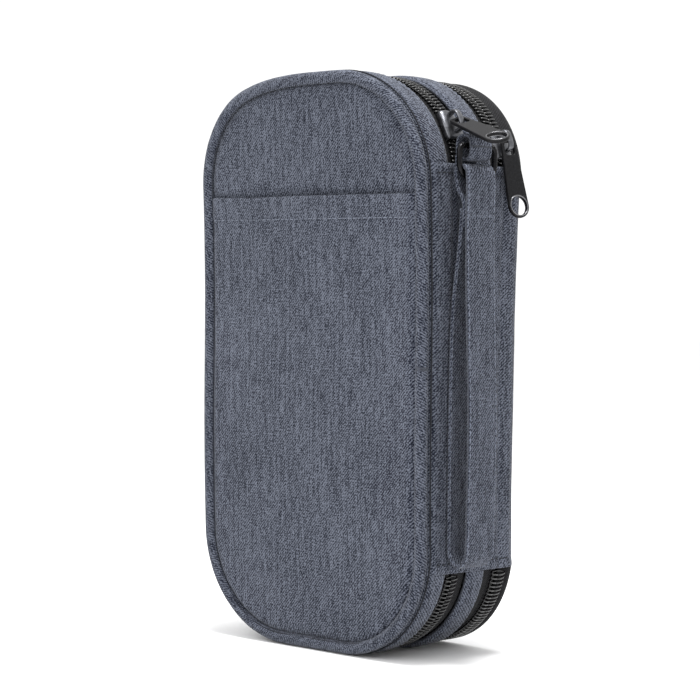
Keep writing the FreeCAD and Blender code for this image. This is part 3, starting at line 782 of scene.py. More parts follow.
def zip_coil(name, body, start, stop, centre_y, facing, phase):
    """A row's filament, turn by turn. facing is the side its heads point to, along Y."""
    total = int((stop - start - PITCH) / PITCH) * TURN_POINTS + 1
    middle_height = ROW_OUT - FILAMENT - ROW_HIGH
    spots, ups = [], []
    for i in range(total):
        turn = i / TURN_POINTS
        c, s = math.cos(2 * math.pi * turn), math.sin(2 * math.pi * turn)
        # flat across the top, with round heads
        y = math.copysign(abs(c) ** 0.75, c) * ROW_HALF
        h = math.copysign(abs(s) ** 0.8, s) * ROW_HIGH
        point, out = outline(start + PITCH / 2 + (turn + phase) * PITCH)
        spot = point + out * (middle_height + h)
        spots.append(Vector((spot.x, centre_y + facing * y + drift(centre_y, point.z), spot.z)))
        ups.append(out)
    verts, uvs = [], []
    for i, spot in enumerate(spots):
        along = heading(spots, i)
        side = along.cross(ups[i])
        side = side.normalized() if side.length > 1e-9 else AXIS_Y
        head = max(0.0, math.cos(2 * math.pi * i / TURN_POINTS))
        wide = FILAMENT * (1.0 + 0.18 * head ** 4)
        verts += ring_points(spot, side, side.cross(along), wide, FILAMENT, WIRE_SIDES)
        uvs += ring_uvs(FILAMENT, i * PITCH / TURN_POINTS, WIRE_SIDES)
    piece = solid_piece(name, verts, tube_faces(total, WIRE_SIDES), uvs)
    finish_piece(move_points(piece, bow), body, coil_plastic, [zip_node(name)])


def coil_sewing(name, body, start, y, centre):
    """The slanted stitches that hold a row on its tape."""
    run = outline_points(start, END, STITCH_STEP)
    points = [bow(Vector((p.x, y + drift(centre, p.z), p.z)) + out * (TAPE_TOP + 0.1 * MM)) for p, out in run]
    sewn = stitch_run(name, points, [out for _, out in run], length=1.5 * MM, gap=0.5 * MM, radius=0.16 * MM,
                      lean=0.3 * MM)
    finish_piece(sewn, body, tape_cloth)


def zip_pieces(side, centre, towards, cover, seam):
    """Both rows of one zip. towards is the cover's side of the zip, along Y."""
    pivot = JOINTS[f"{side}_puller_swing"]["pos_m"]
    parted = place_of_angle(math.atan2(pivot[2] - STRAIGHT_Z, pivot[0] - STRAIGHT_X))
    near, far = centre + towards * TAPE_GAP, seam + towards * 1.0 * MM
    reach = ROW_HALF + FILAMENT - ROW_MESH
    middle = "middle_section"
    zip_tape(f"{side}_tape_on_cover", cover, parted, END + 1 * MM, near, far)
    zip_tape(f"{side}_tape_end", middle, START - 1 * MM, parted, near, far)
    zip_tape(f"{side}_tape_on_middle", middle, START - 1 * MM, END + 1 * MM, centre - towards * TAPE_GAP,
             centre - towards * 7.2 * MM)
    zip_coil(f"{side}_coil_on_cover", cover, parted, END, centre + towards * reach, -towards, 0.0)
    zip_coil(f"{side}_coil_end", middle, START - 0.5 * MM, parted, centre + towards * (reach + TAPE_GAP),
             -towards, 0.0)
    zip_coil(f"{side}_coil_on_middle", middle, START - 0.5 * MM, END, centre - towards * reach, towards, 0.5)
    sewn_out = reach + ROW_HALF + 0.9 * MM
    coil_sewing(f"{side}_coil_sewing_cover", cover, parted, centre + towards * sewn_out, centre)
    coil_sewing(f"{side}_coil_sewing_middle", middle, START, centre - towards * sewn_out, centre)


zip_pieces("front", FRONT_ZIP, -1, "front_cover", GUSSET_FRONT)
zip_pieces("back", BACK_ZIP, 1, "back_cover", BACK_SEAM)

# ------------------------------------ back cover's shell
BACK_FACE = high("back_panel").y
BACK_INSET = 1.7 * MM                              # the zip's tape stands round the back panel's edge


def back_face(x, z):
    away = edge_distance(x, z) - BACK_INSET
    round_off = 1 - math.sqrt(max(0.0, 1 - max(0.0, 1 - away / (2.4 * MM)) ** 2))
    near = smooth_step(away / (9 * MM))
    ripple = 0.4 * MM * wave(x, z, 21, 55 * MM)
    return BACK_FACE - 0.5 * MM + 0.5 * MM * near - 1.7 * MM * round_off - near * ripple


back_panel = cloth_slab("back_panel_cloth", shape_rows(BACK_INSET), lambda x, z: low("back_panel").y,
                        back_face, columns=60)
finish_piece(move_points(back_panel, bow), "back_cover", shell_cloth, ["back_panel"])

# ------------------------------------ spine
SPINE_X = high("spine_panel").x
SPLIT_Y = JOINTS["ring_swing"]["pos_m"][1]          # the spine cloth's two pieces meet here, behind the strap
CREASES = (FRONT_ZIP - 5.5 * MM, BACK_ZIP + 0.4 * MM)
SPINE_HEM = 4.2 * MM


def spine_face(y, z):
    """x of the spine cloth's outer face."""
    from_end = min(z - HEM_LOW, HEM_HIGH - z)
    hem = smooth_step((SPINE_HEM + 0.5 * MM - from_end) / (0.7 * MM))
    dip = math.exp(-((from_end - SPINE_HEM) / (0.6 * MM)) ** 2)
    x = SPINE_X + 0.25 * MM * hem - 0.3 * MM * dip
    for crease in CREASES:
        x -= 0.45 * MM * math.exp(-((y - crease) / (1.1 * MM)) ** 2)
    front, back = y - (FRONT_SEAM - 0.3 * MM), (BACK_SEAM + 0.2 * MM) - y
    x -= 1.5 * MM * (1 - smooth_step(front / (3.2 * MM))) + 1.3 * MM * (1 - smooth_step(back / (3.0 * MM)))
    x += 0.16 * MM * wave(y, z, 31, 16 * MM)
    return x


def spine_half(name, left, right, nodes):
    """One piece of the spine cloth, from left to right along Y, baked in place and attached to no body."""
    heights = list(np.linspace(HEM_LOW, HEM_HIGH, 70))
    for end, way in ((HEM_LOW, 1), (HEM_HIGH, -1)):
        heights += [end + way * d * MM for d in (0.15, 0.5, 4.0, 4.5, 5.0, 5.5, 6.0)]
    heights = sorted(set(heights))
    count = max(8, round((right - left) / (0.9 * MM)))
    across = [left + (right - left) * k / count for k in range(count + 1)]
    verts, uvs = [], []
    for depth, tucked in ((0.0, 1.0), (1.0 * MM, -0.5)):
        for z in heights:
            tuck = 0.45 * MM * (1 - smooth_step(min(z - HEM_LOW, HEM_HIGH - z) / (0.6 * MM)))
            for y in across:
                verts.append(Vector((spine_face(y, z) - (depth + tuck * tucked), y, z)))
                uvs.append((y, z))
    faces = [tuple(reversed(face)) for face in shell_faces(len(heights), len(across))]
    piece = move_points(solid_piece(name, verts, faces, uvs), bow)
    piece.data.materials.append(shell_cloth)
    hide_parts(*nodes)
    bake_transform(piece)


def slab_of(node, name, body, material, inset, grow=0.0):
    """A panel in a CAD node's place, with the rims' bow."""
    near, far = low(node).y, high(node).y
    piece = cloth_slab(name, shape_rows(inset), lambda x, z: near + grow * wave(x, z, 41, 30 * MM),
                       lambda x, z: far + grow * wave(x, z, 43, 30 * MM), columns=30)
    return finish_piece(move_points(piece, bow), body, material, [node])


def rounded_rows(left, right, bottom, top, low_radius, high_radius):
    """Rows of (height, (left, right)) for a layer with rounded corners."""
    heights = set(np.linspace(bottom, top, max(4, round((top - bottom) / (4 * MM)))))
    for radius, end, way in ((low_radius, bottom, 1), (high_radius, top, -1)):
        heights |= {end + way * radius * (1 - math.cos(k / 8 * math.pi / 2)) for k in range(9)}
    rows = []
    for z in sorted(heights):
        cut = 0.0
        for radius, over in ((low_radius, bottom + low_radius - z), (high_radius, z - top + high_radius)):
            if over > 0:
                cut = max(cut, radius - math.sqrt(max(0.0, radius ** 2 - over ** 2)))
        if not rows or z - rows[-1][0] > 0.1 * MM:
            rows.append((z, (left + cut, right - cut)))
    return rows


FLAP_POINTS, FLAP_EDGE = 40, 1.8 * MM               # a seam path's points, and its distance from the edge


def flap(node, body, material, radius, towards, hem=6 * MM):
    """An inner pocket's layer with a sewn hem along its opening. towards is the open side along Y."""
    near, far = low(node), high(node)
    wide_corners = radius > 10 * MM
    rows = rounded_rows(near.x, far.x, near.z, far.z, radius, radius if wide_corners else min(radius, 3 * MM))
    middle, half = (near.y + far.y) / 2, (far.y - near.y) / 2

    def swell(x, z):
        inside = min(x - near.x, far.x - x, z - near.z)
        below = far.z - z
        lift = 0.6 + 0.4 * smooth_step((hem - below) / (0.8 * MM))
        lift -= 0.35 * math.exp(-((below - hem) / (0.7 * MM)) ** 2)
        lift *= 0.5 + 0.5 * smooth_step(inside / (3 * MM))
        return half * lift + 0.08 * MM * wave(x, z, 51, 20 * MM)

    def face(x, z):
        return middle + towards * swell(x, z)

    if towards < 0:
        piece = cloth_slab(f"{node}_cloth", rows, face, lambda x, z: far.y, columns=28)
    else:
        piece = cloth_slab(f"{node}_cloth", rows, lambda x, z: near.y, face, columns=28)
    finish_piece(move_points(piece, bow), body, material, [node])
    hem_end = radius * 0.35 + 1 * MM
    line = [(x, far.z - hem) for x in np.linspace(near.x + hem_end, far.x - hem_end, FLAP_POINTS)]
    top = far.z - 2 * MM - (radius if wide_corners else 0)
    heights = np.linspace(top, near.z + radius, FLAP_POINTS)
    edge = [(near.x + FLAP_EDGE, z) for z in heights]
    edge += [(x, near.z + FLAP_EDGE) for x in np.linspace(near.x + radius, far.x - radius, FLAP_POINTS)]
    edge += [(far.x - FLAP_EDGE, z) for z in reversed(heights)]
    for label, path in (("hem", line), ("sides", edge)):
        points = [bow(Vector((x, face(x, z), z))) for x, z in path]
        sewn = stitch_run(f"{node}_cloth_{label}_stitches", points, [AXIS_Y * towards] * len(points),
                          length=2.4 * MM, gap=1.0 * MM, radius=0.18 * MM)
        finish_piece(sewn, body, seam_thread)


board_low, board_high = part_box("spine_board")
board_rows = [(z, (board_low.y, board_high.y)) for z in np.linspace(board_low.z, board_high.z, 20)]
spine_lining = cloth_slab("spine_lining", board_rows, lambda x, z: board_low.x, lambda x, z: board_high.x,
                          columns=12)
# made along X, so it is turned to lie along Y
move_points(spine_lining, lambda p: bow(Vector((p.y, p.x, p.z))))
face_outwards(spine_lining)
finish_piece(spine_lining, "middle_section", lining_cloth, ["spine_board"])
spine_half("spine_cloth_front", FRONT_SEAM - 0.3 * MM, SPLIT_Y, ["spine_panel"])
spine_half("spine_cloth_back", SPLIT_Y, BACK_SEAM + 0.2 * MM, [])
hem_depths = np.linspace(FRONT_SEAM + 3 * MM, BACK_SEAM - 3 * MM, 40)
for label, z in (("top", HEM_HIGH - SPINE_HEM), ("bottom", HEM_LOW + SPINE_HEM)):
    line = [bow(Vector((spine_face(y, z) + 0.1 * MM, y, z))) for y in hem_depths]
    sewn = stitch_run(f"spine_stitches_{label}", line, [OUT_SPINE] * len(line), length=2.2 * MM, gap=0.9 * MM,
                      radius=0.24 * MM)
    finish_piece(sewn, "middle_section", seam_thread)

# ------------------------------------ inside
FRONT_LINING_IN, BACK_LINING_IN, FRONT_BOARD_IN = 3.4 * MM, 4.6 * MM, 6.5 * MM
slab_of("divider_board", "divider_cloth", "middle_section", lining_cloth, 1.7 * MM, 0.1 * MM)
slab_of("front_lining", "front_lining_cloth", "front_cover", lining_cloth, FRONT_LINING_IN)
slab_of("back_lining", "back_lining_cloth", "back_cover", lining_cloth, BACK_LINING_IN)
slab_of("front_board", "front_stiffener", "front_cover", stiffener, FRONT_BOARD_IN)
slab_of("back_board", "back_stiffener", "back_cover", stiffener, BACK_LINING_IN)
for level in ("lower", "upper"):
    flap(f"passport_pocket_{level}", "front_cover", pocket_cloth, 3 * MM, 1)
for step in (1, 2, 3):
    flap(f"card_slot_{step}", "middle_section", pocket_cloth, 3 * MM, -1, hem=4 * MM)
flap("document_pocket", "middle_section", pocket_cloth, 20 * MM, 1)
flap("mesh_pocket", "back_cover", mesh_cloth, 20 * MM, -1)


# ------------------------------------ tab, D-ring and wrist strap
SPLINE_STEPS = 16


def smooth_path(points, step, closed=False):
    """Points at even steps on a Catmull-Rom spline through the given ones."""
    ends = [points[-1], *points, points[0], points[1]] if closed else [points[0], *points, points[-1]]
    fine = []
    for i in range(len(ends) - 3):
        p = ends[i:i + 4]
        for k in range(SPLINE_STEPS):
            t = k / SPLINE_STEPS
            fine.append(0.5 * (2 * p[1] + (p[2] - p[0]) * t + (2 * p[0] - 5 * p[1] + 4 * p[2] - p[3]) * t * t
                               + (3 * p[1] - p[0] - 3 * p[2] + p[3]) * t ** 3))
    fine.append(fine[0].copy() if closed else points[-1].copy())
    travelled = lengths_along(fine)
    total = max(2, round(travelled[-1] / step))
    path = []
    for i in range(total if closed else total + 1):
        k, share = span_at(travelled, travelled[-1] * i / total)
        path.append(fine[k].lerp(fine[k + 1], share))
    return path


def strap_section(half, thick, groove):
    """A webbing's section of (y, height) pairs, with rounded edges and a groove where the stitching pulls."""
    top = [(-half, 0.0), (-half + 0.15 * thick, 0.33 * thick), (-half + 0.45 * thick, 0.47 * thick)]
    spots = [-half + 0.7 * MM, -half + 1.0 * MM, -half + 1.3 * MM, -half + 1.7 * MM, -half + 2.2 * MM,
             -half * 0.5, 0.0]
    for y in spots:
        pull = groove * math.exp(-((y + half - 1.3 * MM) / (0.35 * MM)) ** 2)
        top.append((y, 0.5 * thick - pull + 0.03 * thick * math.cos(y / half * math.pi / 2)))
    top += [(-y, h) for y, h in reversed(top[:-1])]
    return top + [(y, -h) for y, h in reversed(top[1:-1])]


def webbing(name, path, section, closed=False, middle_y=0.0, waver=0.0):
    """Sweep a section along a path in the XZ plane. The path's left side is the section's outer side. The
    path's frames come back too: point, outward direction, sway along Y and tilt."""
    girth = lengths_along(section)
    verts, uvs, frames = [], [], []
    for i, (point, run) in enumerate(zip(path, lengths_along(path))):
        out = AXIS_Y.cross(heading(path, i, closed)).normalized()
        sway = waver * noise.noise(Vector((run / (40 * MM), 3.0, 1.0)))
        tilt = waver * 0.03 / MM * noise.noise(Vector((run / (50 * MM), 8.0, 1.0)))
        frames.append((point, out, sway, tilt))
        for across, (y, height) in zip(girth, section):
            spot = point + out * (height + y * tilt)
            verts.append(Vector((spot.x, middle_y + y + sway, spot.z)))
            uvs.append((across, run))
    return solid_piece(name, verts, tube_faces(len(path), len(section), closed), uvs), frames


def side_point(x, z):
    return Vector((x, 0, z))


def squared(value, power):
    """Raise a cosine or sine to a power and keep its sign, which squares a circle up."""
    return math.copysign(abs(value) ** power, value)


tab_low, tab_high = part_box("ring_tab")
TAB_HALF = (tab_high.y - tab_low.y) / 2 - 1.4 * MM
ring_pos = Vector(JOINTS["ring_swing"]["pos_m"])
loop_bottom, loop_top = ring_pos.z - 6.5 * MM, tab_high.z
centre = Vector(((SPINE_X + tab_high.x) / 2 + 0.1 * MM, 0, (loop_bottom + loop_top) / 2))
across_half, up_half = (tab_high.x - SPINE_X) / 2 - 0.7 * MM, (loop_top - loop_bottom) / 2 - 0.65 * MM
tab_path = []
for k in range(64):
    turn = -2 * math.pi * k / 64
    corner = side_point(squared(math.cos(turn), 0.72) * across_half, squared(math.sin(turn), 0.72) * up_half)
    tab_path.append(centre + corner)
tab_path = smooth_path(tab_path, 0.9 * MM, closed=True)
tab_piece, _ = webbing("ring_tab_loop", tab_path, strap_section(TAB_HALF, 1.3 * MM, 0.12 * MM), True, SPLIT_Y)
finish_piece(tab_piece, "middle_section", strap_cloth, ["ring_tab"])
tail_heights = (tab_low.z, tab_low.z + 6 * MM, loop_bottom + 2.4 * MM)
tail_path = smooth_path([side_point(SPINE_X + 0.55 * MM, z) for z in tail_heights], 1.2 * MM)
tail_section = strap_section(TAB_HALF, 1.0 * MM, 0.1 * MM)
tail_piece, _ = webbing("ring_tab_tail", tail_path, tail_section, middle_y=SPLIT_Y)
finish_piece(tail_piece, "middle_section", strap_cloth)
for label, z in (("upper", loop_bottom - 1.6 * MM), ("lower", tab_low.z + 1.6 * MM)):
    across = np.linspace(-TAB_HALF + 1.2 * MM, TAB_HALF - 1.2 * MM, 20)
    line = [Vector((SPINE_X + 1.1 * MM, SPLIT_Y + y, z)) for y in across]
    sewn = stitch_run(f"tab_stitches_{label}", line, [OUT_SPINE] * len(line), length=1.9 * MM, gap=0.6 * MM)
    finish_piece(sewn, "middle_section", thread)

ring_low, ring_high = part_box("d_ring")
WIRE = (ring_high.x - ring_low.x) / 2
RING_HALF, RING_DROP = (ring_high.y - ring_low.y) / 2 - WIRE + 0.8 * MM, ring_high.z - ring_low.z - 2 * WIRE
ring_path = []
for cy, cz, radius, start in ((-1, -1, 6.0 * MM, 180), (1, -1, 6.0 * MM, 270), (1, 1, 2.5 * MM, 0),
                              (-1, 1, 2.5 * MM, 90)):
    corner_y = SPLIT_Y + 1.2 * MM + cy * (RING_HALF - radius)
    corner_z = ring_pos.z - RING_DROP + radius if cz < 0 else ring_pos.z - radius
    turns = np.linspace(start, start + 90, 13)
    ring_path += [Vector((ring_pos.x, y, z)) for y, z in arc_points(corner_y, corner_z, radius, turns)]
ring_path = smooth_path(ring_path, 0.8 * MM, closed=True)
ring_piece = tube_along("d_ring_wire", ring_path, WIRE, sides=14, closed=True, up=OUT_SPINE)
finish_piece(ring_piece, "d_ring", black_metal, ["d_ring"])

strap_low, strap_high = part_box("wrist_strap")
STRAP_HALF = (strap_high.y - strap_low.y) / 2 + 0.4 * MM
STRAP_Y = SPLIT_Y - 0.4 * MM
STRAP_THICK = 1.5 * MM
fold_centre = Vector(JOINTS["strap_swing"]["pos_m"])
fold_x, fold_z = fold_centre.x, fold_centre.z
join = 188 * MM
inner_x, outer_x = strap_low.x + STRAP_THICK / 2, strap_high.x - STRAP_THICK / 2
bottom = strap_low.z + STRAP_THICK / 2
fold_r = 4.2 * MM - STRAP_THICK / 2
pinch = fold_x + 2.7 * MM                           # where the cross stitch holds the layers together
FOLD_TURNS = (195, 165, 125, 90, 55, 20, -5)        # degrees round the fold that hangs on the ring
way = [side_point(pinch - 0.85 * MM, join - 5 * MM), side_point(pinch - 0.8 * MM, join),
       side_point(pinch - 1.4 * MM, join + 6 * MM), side_point(fold_x - 1.8 * MM, fold_z - 6.5 * MM)]
way += [side_point(x, z) for x, z in arc_points(fold_x, fold_z, fold_r, FOLD_TURNS)]
way += [side_point(fold_x + fold_r + 0.25 * MM, fold_z - 7 * MM),
        side_point(pinch + 0.95 * MM, join + 6 * MM),
        side_point(pinch + 0.8 * MM, join), side_point(pinch + 1.0 * MM, join - 14 * MM),
        side_point(outer_x - 1.5 * MM, join - 46 * MM), side_point(outer_x, join - 80 * MM),
        side_point(outer_x, join - 110 * MM), side_point(outer_x - 0.2 * MM, bottom + 12 * MM),
        side_point(outer_x - 0.9 * MM, bottom + 4 * MM), side_point((inner_x + outer_x) / 2, bottom),
        side_point(inner_x + 0.9 * MM, bottom + 4 * MM), side_point(inner_x + 0.1 * MM, bottom + 12 * MM),
        side_point(inner_x, join - 110 * MM), side_point(inner_x, join - 70 * MM),
        side_point(inner_x + 0.5 * MM, join - 40 * MM), side_point(pinch - 3.6 * MM, join - 14 * MM),
        side_point(pinch - 2.4 * MM, join - 0.5 * MM), side_point(pinch - 2.5 * MM, join + 3 * MM)]
strap_path = smooth_path(way, 1.6 * MM)
webbing_section = strap_section(STRAP_HALF, STRAP_THICK, 0.14 * MM)
strap_piece, strap_frames = webbing("wrist_strap_cloth", strap_path, webbing_section, middle_y=STRAP_Y,
                                    waver=0.25 * MM)
finish_piece(strap_piece, "wrist_strap", strap_cloth, ["wrist_strap"])
for label, side, face in (("left", -1, 1), ("right", 1, 1), ("left_under", -1, -1), ("right_under", 1, -1)):
    points, outs = [], []
    for point, out, sway, tilt in strap_frames:
        y = side * (STRAP_HALF - 0.9 * MM)
        spot = point + out * (face * (0.5 * STRAP_THICK - 0.1 * MM) + y * tilt)
        points.append(Vector((spot.x, STRAP_Y + y + sway, spot.z)))
        outs.append(out * face)
    sewn = stitch_run(f"strap_stitches_{label}", points, outs, length=2.3 * MM, radius=0.23 * MM)
    finish_piece(sewn, "wrist_strap", thread)
ZIGS = 22
zigzag = []
for k in range(ZIGS + 1):
    y = (2 * k / ZIGS - 1) * (STRAP_HALF - 0.8 * MM)
    zigzag.append(Vector((pinch + 0.8 * MM + 0.5 * STRAP_THICK, STRAP_Y + y,
                          join + (0.7 * MM if k % 2 else -0.7 * MM))))
zigzag = smooth_path(zigzag, 0.5 * MM)
cross = stitch_run("strap_cross_stitch", zigzag, [OUT_SPINE] * len(zigzag), length=1.7 * MM, gap=0.25 * MM,
                   radius=0.26 * MM)
finish_piece(cross, "wrist_strap", thread)


# ------------------------------------ sliders and pullers
def plate_piece(name, outer, holes, thick, bevel):
    """A flat plate with bevelled edges, lying in its own XY plane."""
    curve = bpy.data.curves.new(name + "_outline", "CURVE")
    curve.dimensions, curve.fill_mode = "2D", "BOTH"
    curve.extrude, curve.offset = thick / 2 - bevel, -bevel
    curve.bevel_depth, curve.bevel_resolution = bevel, 3
    for loop in [outer, *holes]:
        spline = curve.splines.new("POLY")
        spline.points.add(len(loop) - 1)
        for point, (x, y) in zip(spline.points, loop):
            point.co = (x, y, 0, 1)
        spline.use_cyclic_u = True
    holder = bpy.data.objects.new(name + "_curve", curve)
    bpy.context.scene.collection.objects.link(holder)
    mesh = bpy.data.meshes.new_from_object(holder.evaluated_get(bpy.context.evaluated_depsgraph_get()))
    bpy.data.objects.remove(holder)
    bpy.data.curves.remove(curve)
    work = bmesh.new()
    work.from_mesh(mesh)
    bmesh.ops.remove_doubles(work, verts=work.verts, dist=1e-6)
    bmesh.ops.dissolve_degenerate(work, dist=1e-7, edges=work.edges)
    bmesh.ops.recalc_face_normals(work, faces=work.faces)
    work.to_mesh(mesh)
    work.free()
    mesh.name = name
    for polygon in mesh.polygons:
        polygon.use_smooth = abs(polygon.normal.z) < 0.98
    piece = bpy.data.objects.new(name, mesh)
    bpy.context.scene.collection.objects.link(piece)
    return piece


def tag_outline(head, long):
    """The tag's outline: a square head with rounded corners, sides that widen, and a round end."""
    corner = 1.3 * MM
    outer = arc_points(0.5 * MM, -head + corner, corner, np.linspace(180, 270, 6))
    outer += arc_points(long, 0, 5.3 * MM, np.linspace(-97, 97, 34))
    return outer + arc_points(0.5 * MM, head - corner, corner, np.linspace(90, 180, 6))


def puller_piece(side, pitch, swivel=0.0, yaw=0.0, off=0.0):
    """The hanging tag: a slotted head, a body that widens downwards and a ring with a raised rim. pitch,
    swivel and yaw are in degrees; off moves it along X."""
    hole_r, long = 4.1 * MM, 28.8 * MM
    slot = []
    for cx, cy, start in ((5.1, 1.1, 0), (2.4, 1.1, 90), (2.4, -1.1, 180), (5.1, -1.1, 270)):
        slot += arc_points(cx * MM, cy * MM, 1.4 * MM, np.linspace(start, start + 90, 6))
    hole = arc_points(long, 0, hole_r, np.linspace(0, 350, 36))
    tag = plate_piece(f"{side}_puller_tag", tag_outline(3.7 * MM, long), [slot, hole], 1.6 * MM, 0.42 * MM)
    turn = math.radians(pitch)
    along, normal = Vector((math.cos(turn), 0, -math.sin(turn))), Vector((math.sin(turn), 0, math.cos(turn)))
    basis = Matrix((along, normal.cross(along), normal)).transposed()
    basis = Matrix.Rotation(math.radians(yaw), 3, "Z") @ basis @ Matrix.Rotation(math.radians(swivel), 3, "X")
    hang = Vector(JOINTS[f"{side}_puller_swing"]["pos_m"]) + along_y(side) + Vector((off, 0, 0))
    rim_r = hole_r + 0.35 * MM
    turns = np.linspace(0, 2 * math.pi, 49)[:-1]
    for label, face in (("out", 1), ("in", -1)):
        path = [Vector((long + rim_r * math.cos(a), rim_r * math.sin(a), 0.72 * MM * face)) for a in turns]
        rim = tube_along(f"{side}_puller_rim_{label}", path, 0.30 * MM, closed=True, up=AXIS_Z)
        # the rims take the lighter metal that paints a highlight along the ring
        finish_piece(move_points(rim, lambda p: basis @ p + hang), f"{side}_puller", rim_painted_highlight_metal)
    move_points(tag, lambda p: basis @ p + hang)
    finish_piece(tag, f"{side}_puller", puller_paint, [f"{side}_puller"])


def along_y(side):
    """How far along Y a parked slider sits from its CAD place, with its coils."""
    pivot = Vector(JOINTS[f"{side}_puller_swing"]["pos_m"])
    return bow(pivot + AXIS_Y * drift(pivot.y, pivot.z)) - pivot


SLIDER_HALF_LONG = 7.1 * MM
WEDGE = ((-6.0, 0.0), (-5.0, 0.75), (-3.0, 0.6), (-1.0, 0.15), (-3.0, -0.6), (-5.0, -0.75))
# millimetres along the zip and over it
BRIDGE_HALF = ((-4.0, 0.7), (-4.05, 2.6), (-3.6, 4.6), (-2.4, 5.55))
BRIDGE = (*BRIDGE_HALF, (0, 5.75), *((-a, h) for a, h in reversed(BRIDGE_HALF)))
PLATE_ROWS = 25


def slider_width(half, share):
    """The slider's half width, and 1 where it is full, down to 0 at its rounded ends. share is -1 at the
    mouth, towards the hem, and 1 at the narrower tail."""
    end = math.sqrt(max(0.0, 1 - max(0.0, (abs(share) - 0.72) / 0.28) ** 2))
    return half * (1.0 - 0.16 * smooth_step((share + 0.15) / 0.9)) * (0.62 + 0.38 * end), end


def top_plate(half, share):
    width, end = slider_width(half, share)
    crown, lip, drop = 1.0 * MM + 0.45 * MM * end, -2.1 * MM, 0.75 * MM * (1 - end)
    outer = [(-width, lip), (-width, -0.4 * MM), (-width + 0.12 * MM, 0.25 * MM),
             (-width + 0.6 * MM, 0.75 * MM), (-width * 0.6, crown - 0.12 * MM), (-width * 0.25, crown),
             (0, crown + 0.04 * MM)]
    outer += [(-y, h) for y, h in reversed(outer[:-1])]
    inside = width - 0.75 * MM
    inner = [(-inside, lip), (-inside, -0.4 * MM), (-inside + 0.5 * MM, -0.28 * MM), (0, -0.24 * MM)]
    inner += [(-y, h) for y, h in reversed(inner[:-1])]
    return [(y, h - drop) for y, h in outer] + [(y, h - drop * 0.3) for y, h in reversed(inner)]


def low_plate(half, share):
    width, _ = slider_width(half, share)
    return [(-width, -4.4 * MM), (-width + 0.3 * MM, -3.9 * MM), (0, -3.75 * MM),
            (width - 0.3 * MM, -3.9 * MM), (width, -4.4 * MM), (width - 0.4 * MM, -4.9 * MM),
            (0, -5.05 * MM), (-width + 0.4 * MM, -4.9 * MM)]


def slider_piece(side):
    """The slider's two curved plates and its wedge, and the bridge that holds the puller."""
    pivot = Vector(JOINTS[f"{side}_puller_swing"]["pos_m"])
    centre = Vector((STRAIGHT_X, pivot.y, STRAIGHT_Z))
    parked = math.atan2(pivot.z - centre.z, pivot.x - centre.x)
    half = (high(f"{side}_slider").y - low(f"{side}_slider").y) / 2 * 0.9

    def spot(along, y, height):
        angle = parked + along / CORNER
        out = Vector((math.cos(angle), 0, math.sin(angle)))
        return centre + out * (CORNER + height) + AXIS_Y * y + along_y(side)

    verts, faces = [], []
    for plate in (top_plate, low_plate):
        first = len(verts)
        for share in np.linspace(-1, 1, PLATE_ROWS):
            along = SLIDER_HALF_LONG * math.sin(share * math.pi / 2)
            verts += [spot(along, y, h) for y, h in plate(half, along / SLIDER_HALF_LONG)]
        faces += tube_faces(PLATE_ROWS, (len(verts) - first) // PLATE_ROWS, first=first)
    # the wedge between the rows, at the mouth
    faces += tube_faces(2, len(WEDGE), first=len(verts))
    for height in (-4.0 * MM, 0.2 * MM):
        verts += [spot(a * MM, y * MM, height) for a, y in WEDGE]
    shell = solid_piece(f"{side}_slider_shell", verts, faces)
    subdivide(shell)
    finish_piece(shell, f"{side}_slider", slider_metal, [f"{side}_slider"])

    path = smooth_path([spot(a * MM, 0, h * MM) for a, h in BRIDGE], 0.5 * MM)
    wide, thick = 1.45 * MM, 0.62 * MM
    section = [(-wide, -thick * 0.5), (-wide, thick * 0.5), (-wide * 0.82, thick * 0.95), (0, thick * 1.1),
               (wide * 0.82, thick * 0.95), (wide, thick * 0.5), (wide, -thick * 0.5),
               (wide * 0.82, -thick * 0.9), (0, -thick), (-wide * 0.82, -thick * 0.9)]
    bridge, _ = webbing(f"{side}_slider_bridge", path, section, False, pivot.y + along_y(side).y)
    finish_piece(bridge, f"{side}_slider", slider_metal, [f"{side}_bridge"])

slider_piece("front")
slider_piece("back")
puller_piece("front", 17.5, swivel=18.0, yaw=-11.0)
puller_piece("back", 76.5, swivel=12.0, off=0.6 * MM)

# ------------------------------------ floor, light and camera
FLOOR = 6                                           # half of the floor's side, in metres
floor_corners = [(-FLOOR, -FLOOR, 0), (FLOOR, -FLOOR, 0), (FLOOR, FLOOR, 0), (-FLOOR, FLOOR, 0)]
floor_mesh = add_mesh("studio_floor", floor_corners, [(0, 1, 2, 3)], smooth=False)
floor_material, _, floor_shader = new_material("studio_floor", (0.93, 0.93, 0.93), rough=0.9)
floor_shader.inputs["Specular IOR Level"].default_value = 0.1
floor_mesh.data.materials.append(floor_material)
floor_mesh.location.z = -0.4 * MM

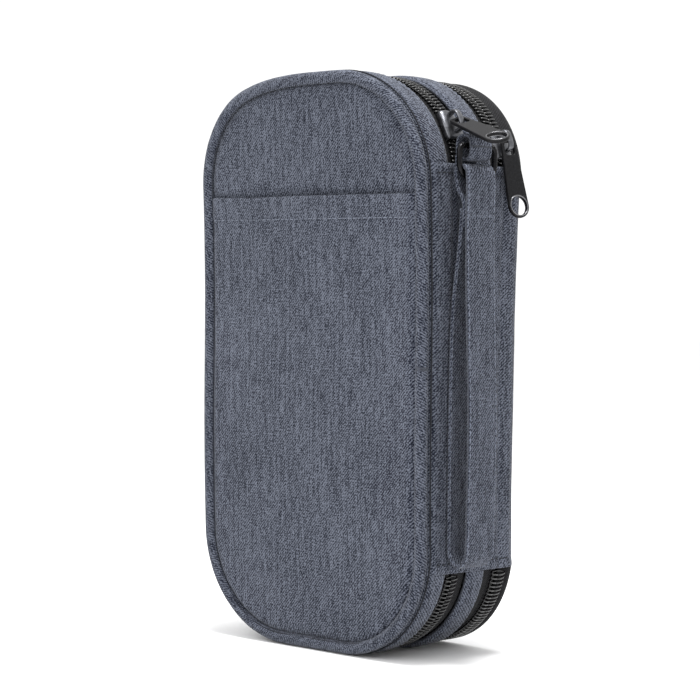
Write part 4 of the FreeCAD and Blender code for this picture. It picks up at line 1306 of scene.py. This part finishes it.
world = bpy.data.worlds.new("studio")
bpy.context.scene.world = world
world.use_nodes = True
world.node_tree.nodes["Background"].inputs["Color"].default_value = (1, 1, 1, 1)
world.node_tree.nodes["Background"].inputs["Strength"].default_value = 1.1


def area_light(name, azimuth, elevation, distance, size, power):
    """A soft box that looks at the wallet's middle, from an azimuth that counts as the camera's does."""
    light = bpy.data.lights.new(name, "AREA")
    light.shape, light.size, light.energy = "DISK", size, power
    holder = bpy.data.objects.new(name, light)
    bpy.context.scene.collection.objects.link(holder)
    a, e = math.radians(azimuth), math.radians(elevation)
    towards = Vector((math.sin(a) * math.cos(e), -math.cos(a) * math.cos(e), math.sin(e)))
    holder.location = Vector((0, 0, TALL / 2)) + towards * distance
    holder.rotation_euler = towards.to_track_quat("Z", "Y").to_euler()


area_light("top_box", 60, 80, 0.9, 0.42, 11.0)
area_light("front_box", 5, 30, 1.1, 0.8, 4.0)

CAMERA_AZ, CAMERA_EL, CAMERA_ROLL = math.radians(44.6), math.radians(1.5), math.radians(0.8)
CAMERA_DISTANCE, SENSOR = 1.0, 36.0                 # metres and millimetres
VIEW_RIGHT, VIEW_UP, LENS = 7.7 * MM, -5.0 * MM, 115.6
back = Vector((math.sin(CAMERA_AZ) * math.cos(CAMERA_EL), -math.cos(CAMERA_AZ) * math.cos(CAMERA_EL),
               math.sin(CAMERA_EL)))
level_right = (-back).cross(Vector((0, 0, 1))).normalized()
level_up = level_right.cross(-back)
right = level_right * math.cos(CAMERA_ROLL) + level_up * math.sin(CAMERA_ROLL)
up = level_up * math.cos(CAMERA_ROLL) - level_right * math.sin(CAMERA_ROLL)
camera_data = bpy.data.cameras.new("camera")
camera_data.lens, camera_data.sensor_width = LENS, SENSOR
camera = bpy.data.objects.new("camera", camera_data)
bpy.context.scene.collection.objects.link(camera)
place = Vector((0, 0, TALL / 2)) + back * CAMERA_DISTANCE - right * VIEW_RIGHT - up * VIEW_UP
camera.matrix_world = Matrix((right, up, back)).transposed().to_4x4()
camera.location = place
bpy.context.scene.camera = camera

bpy.context.scene.view_settings.view_transform = "Standard"
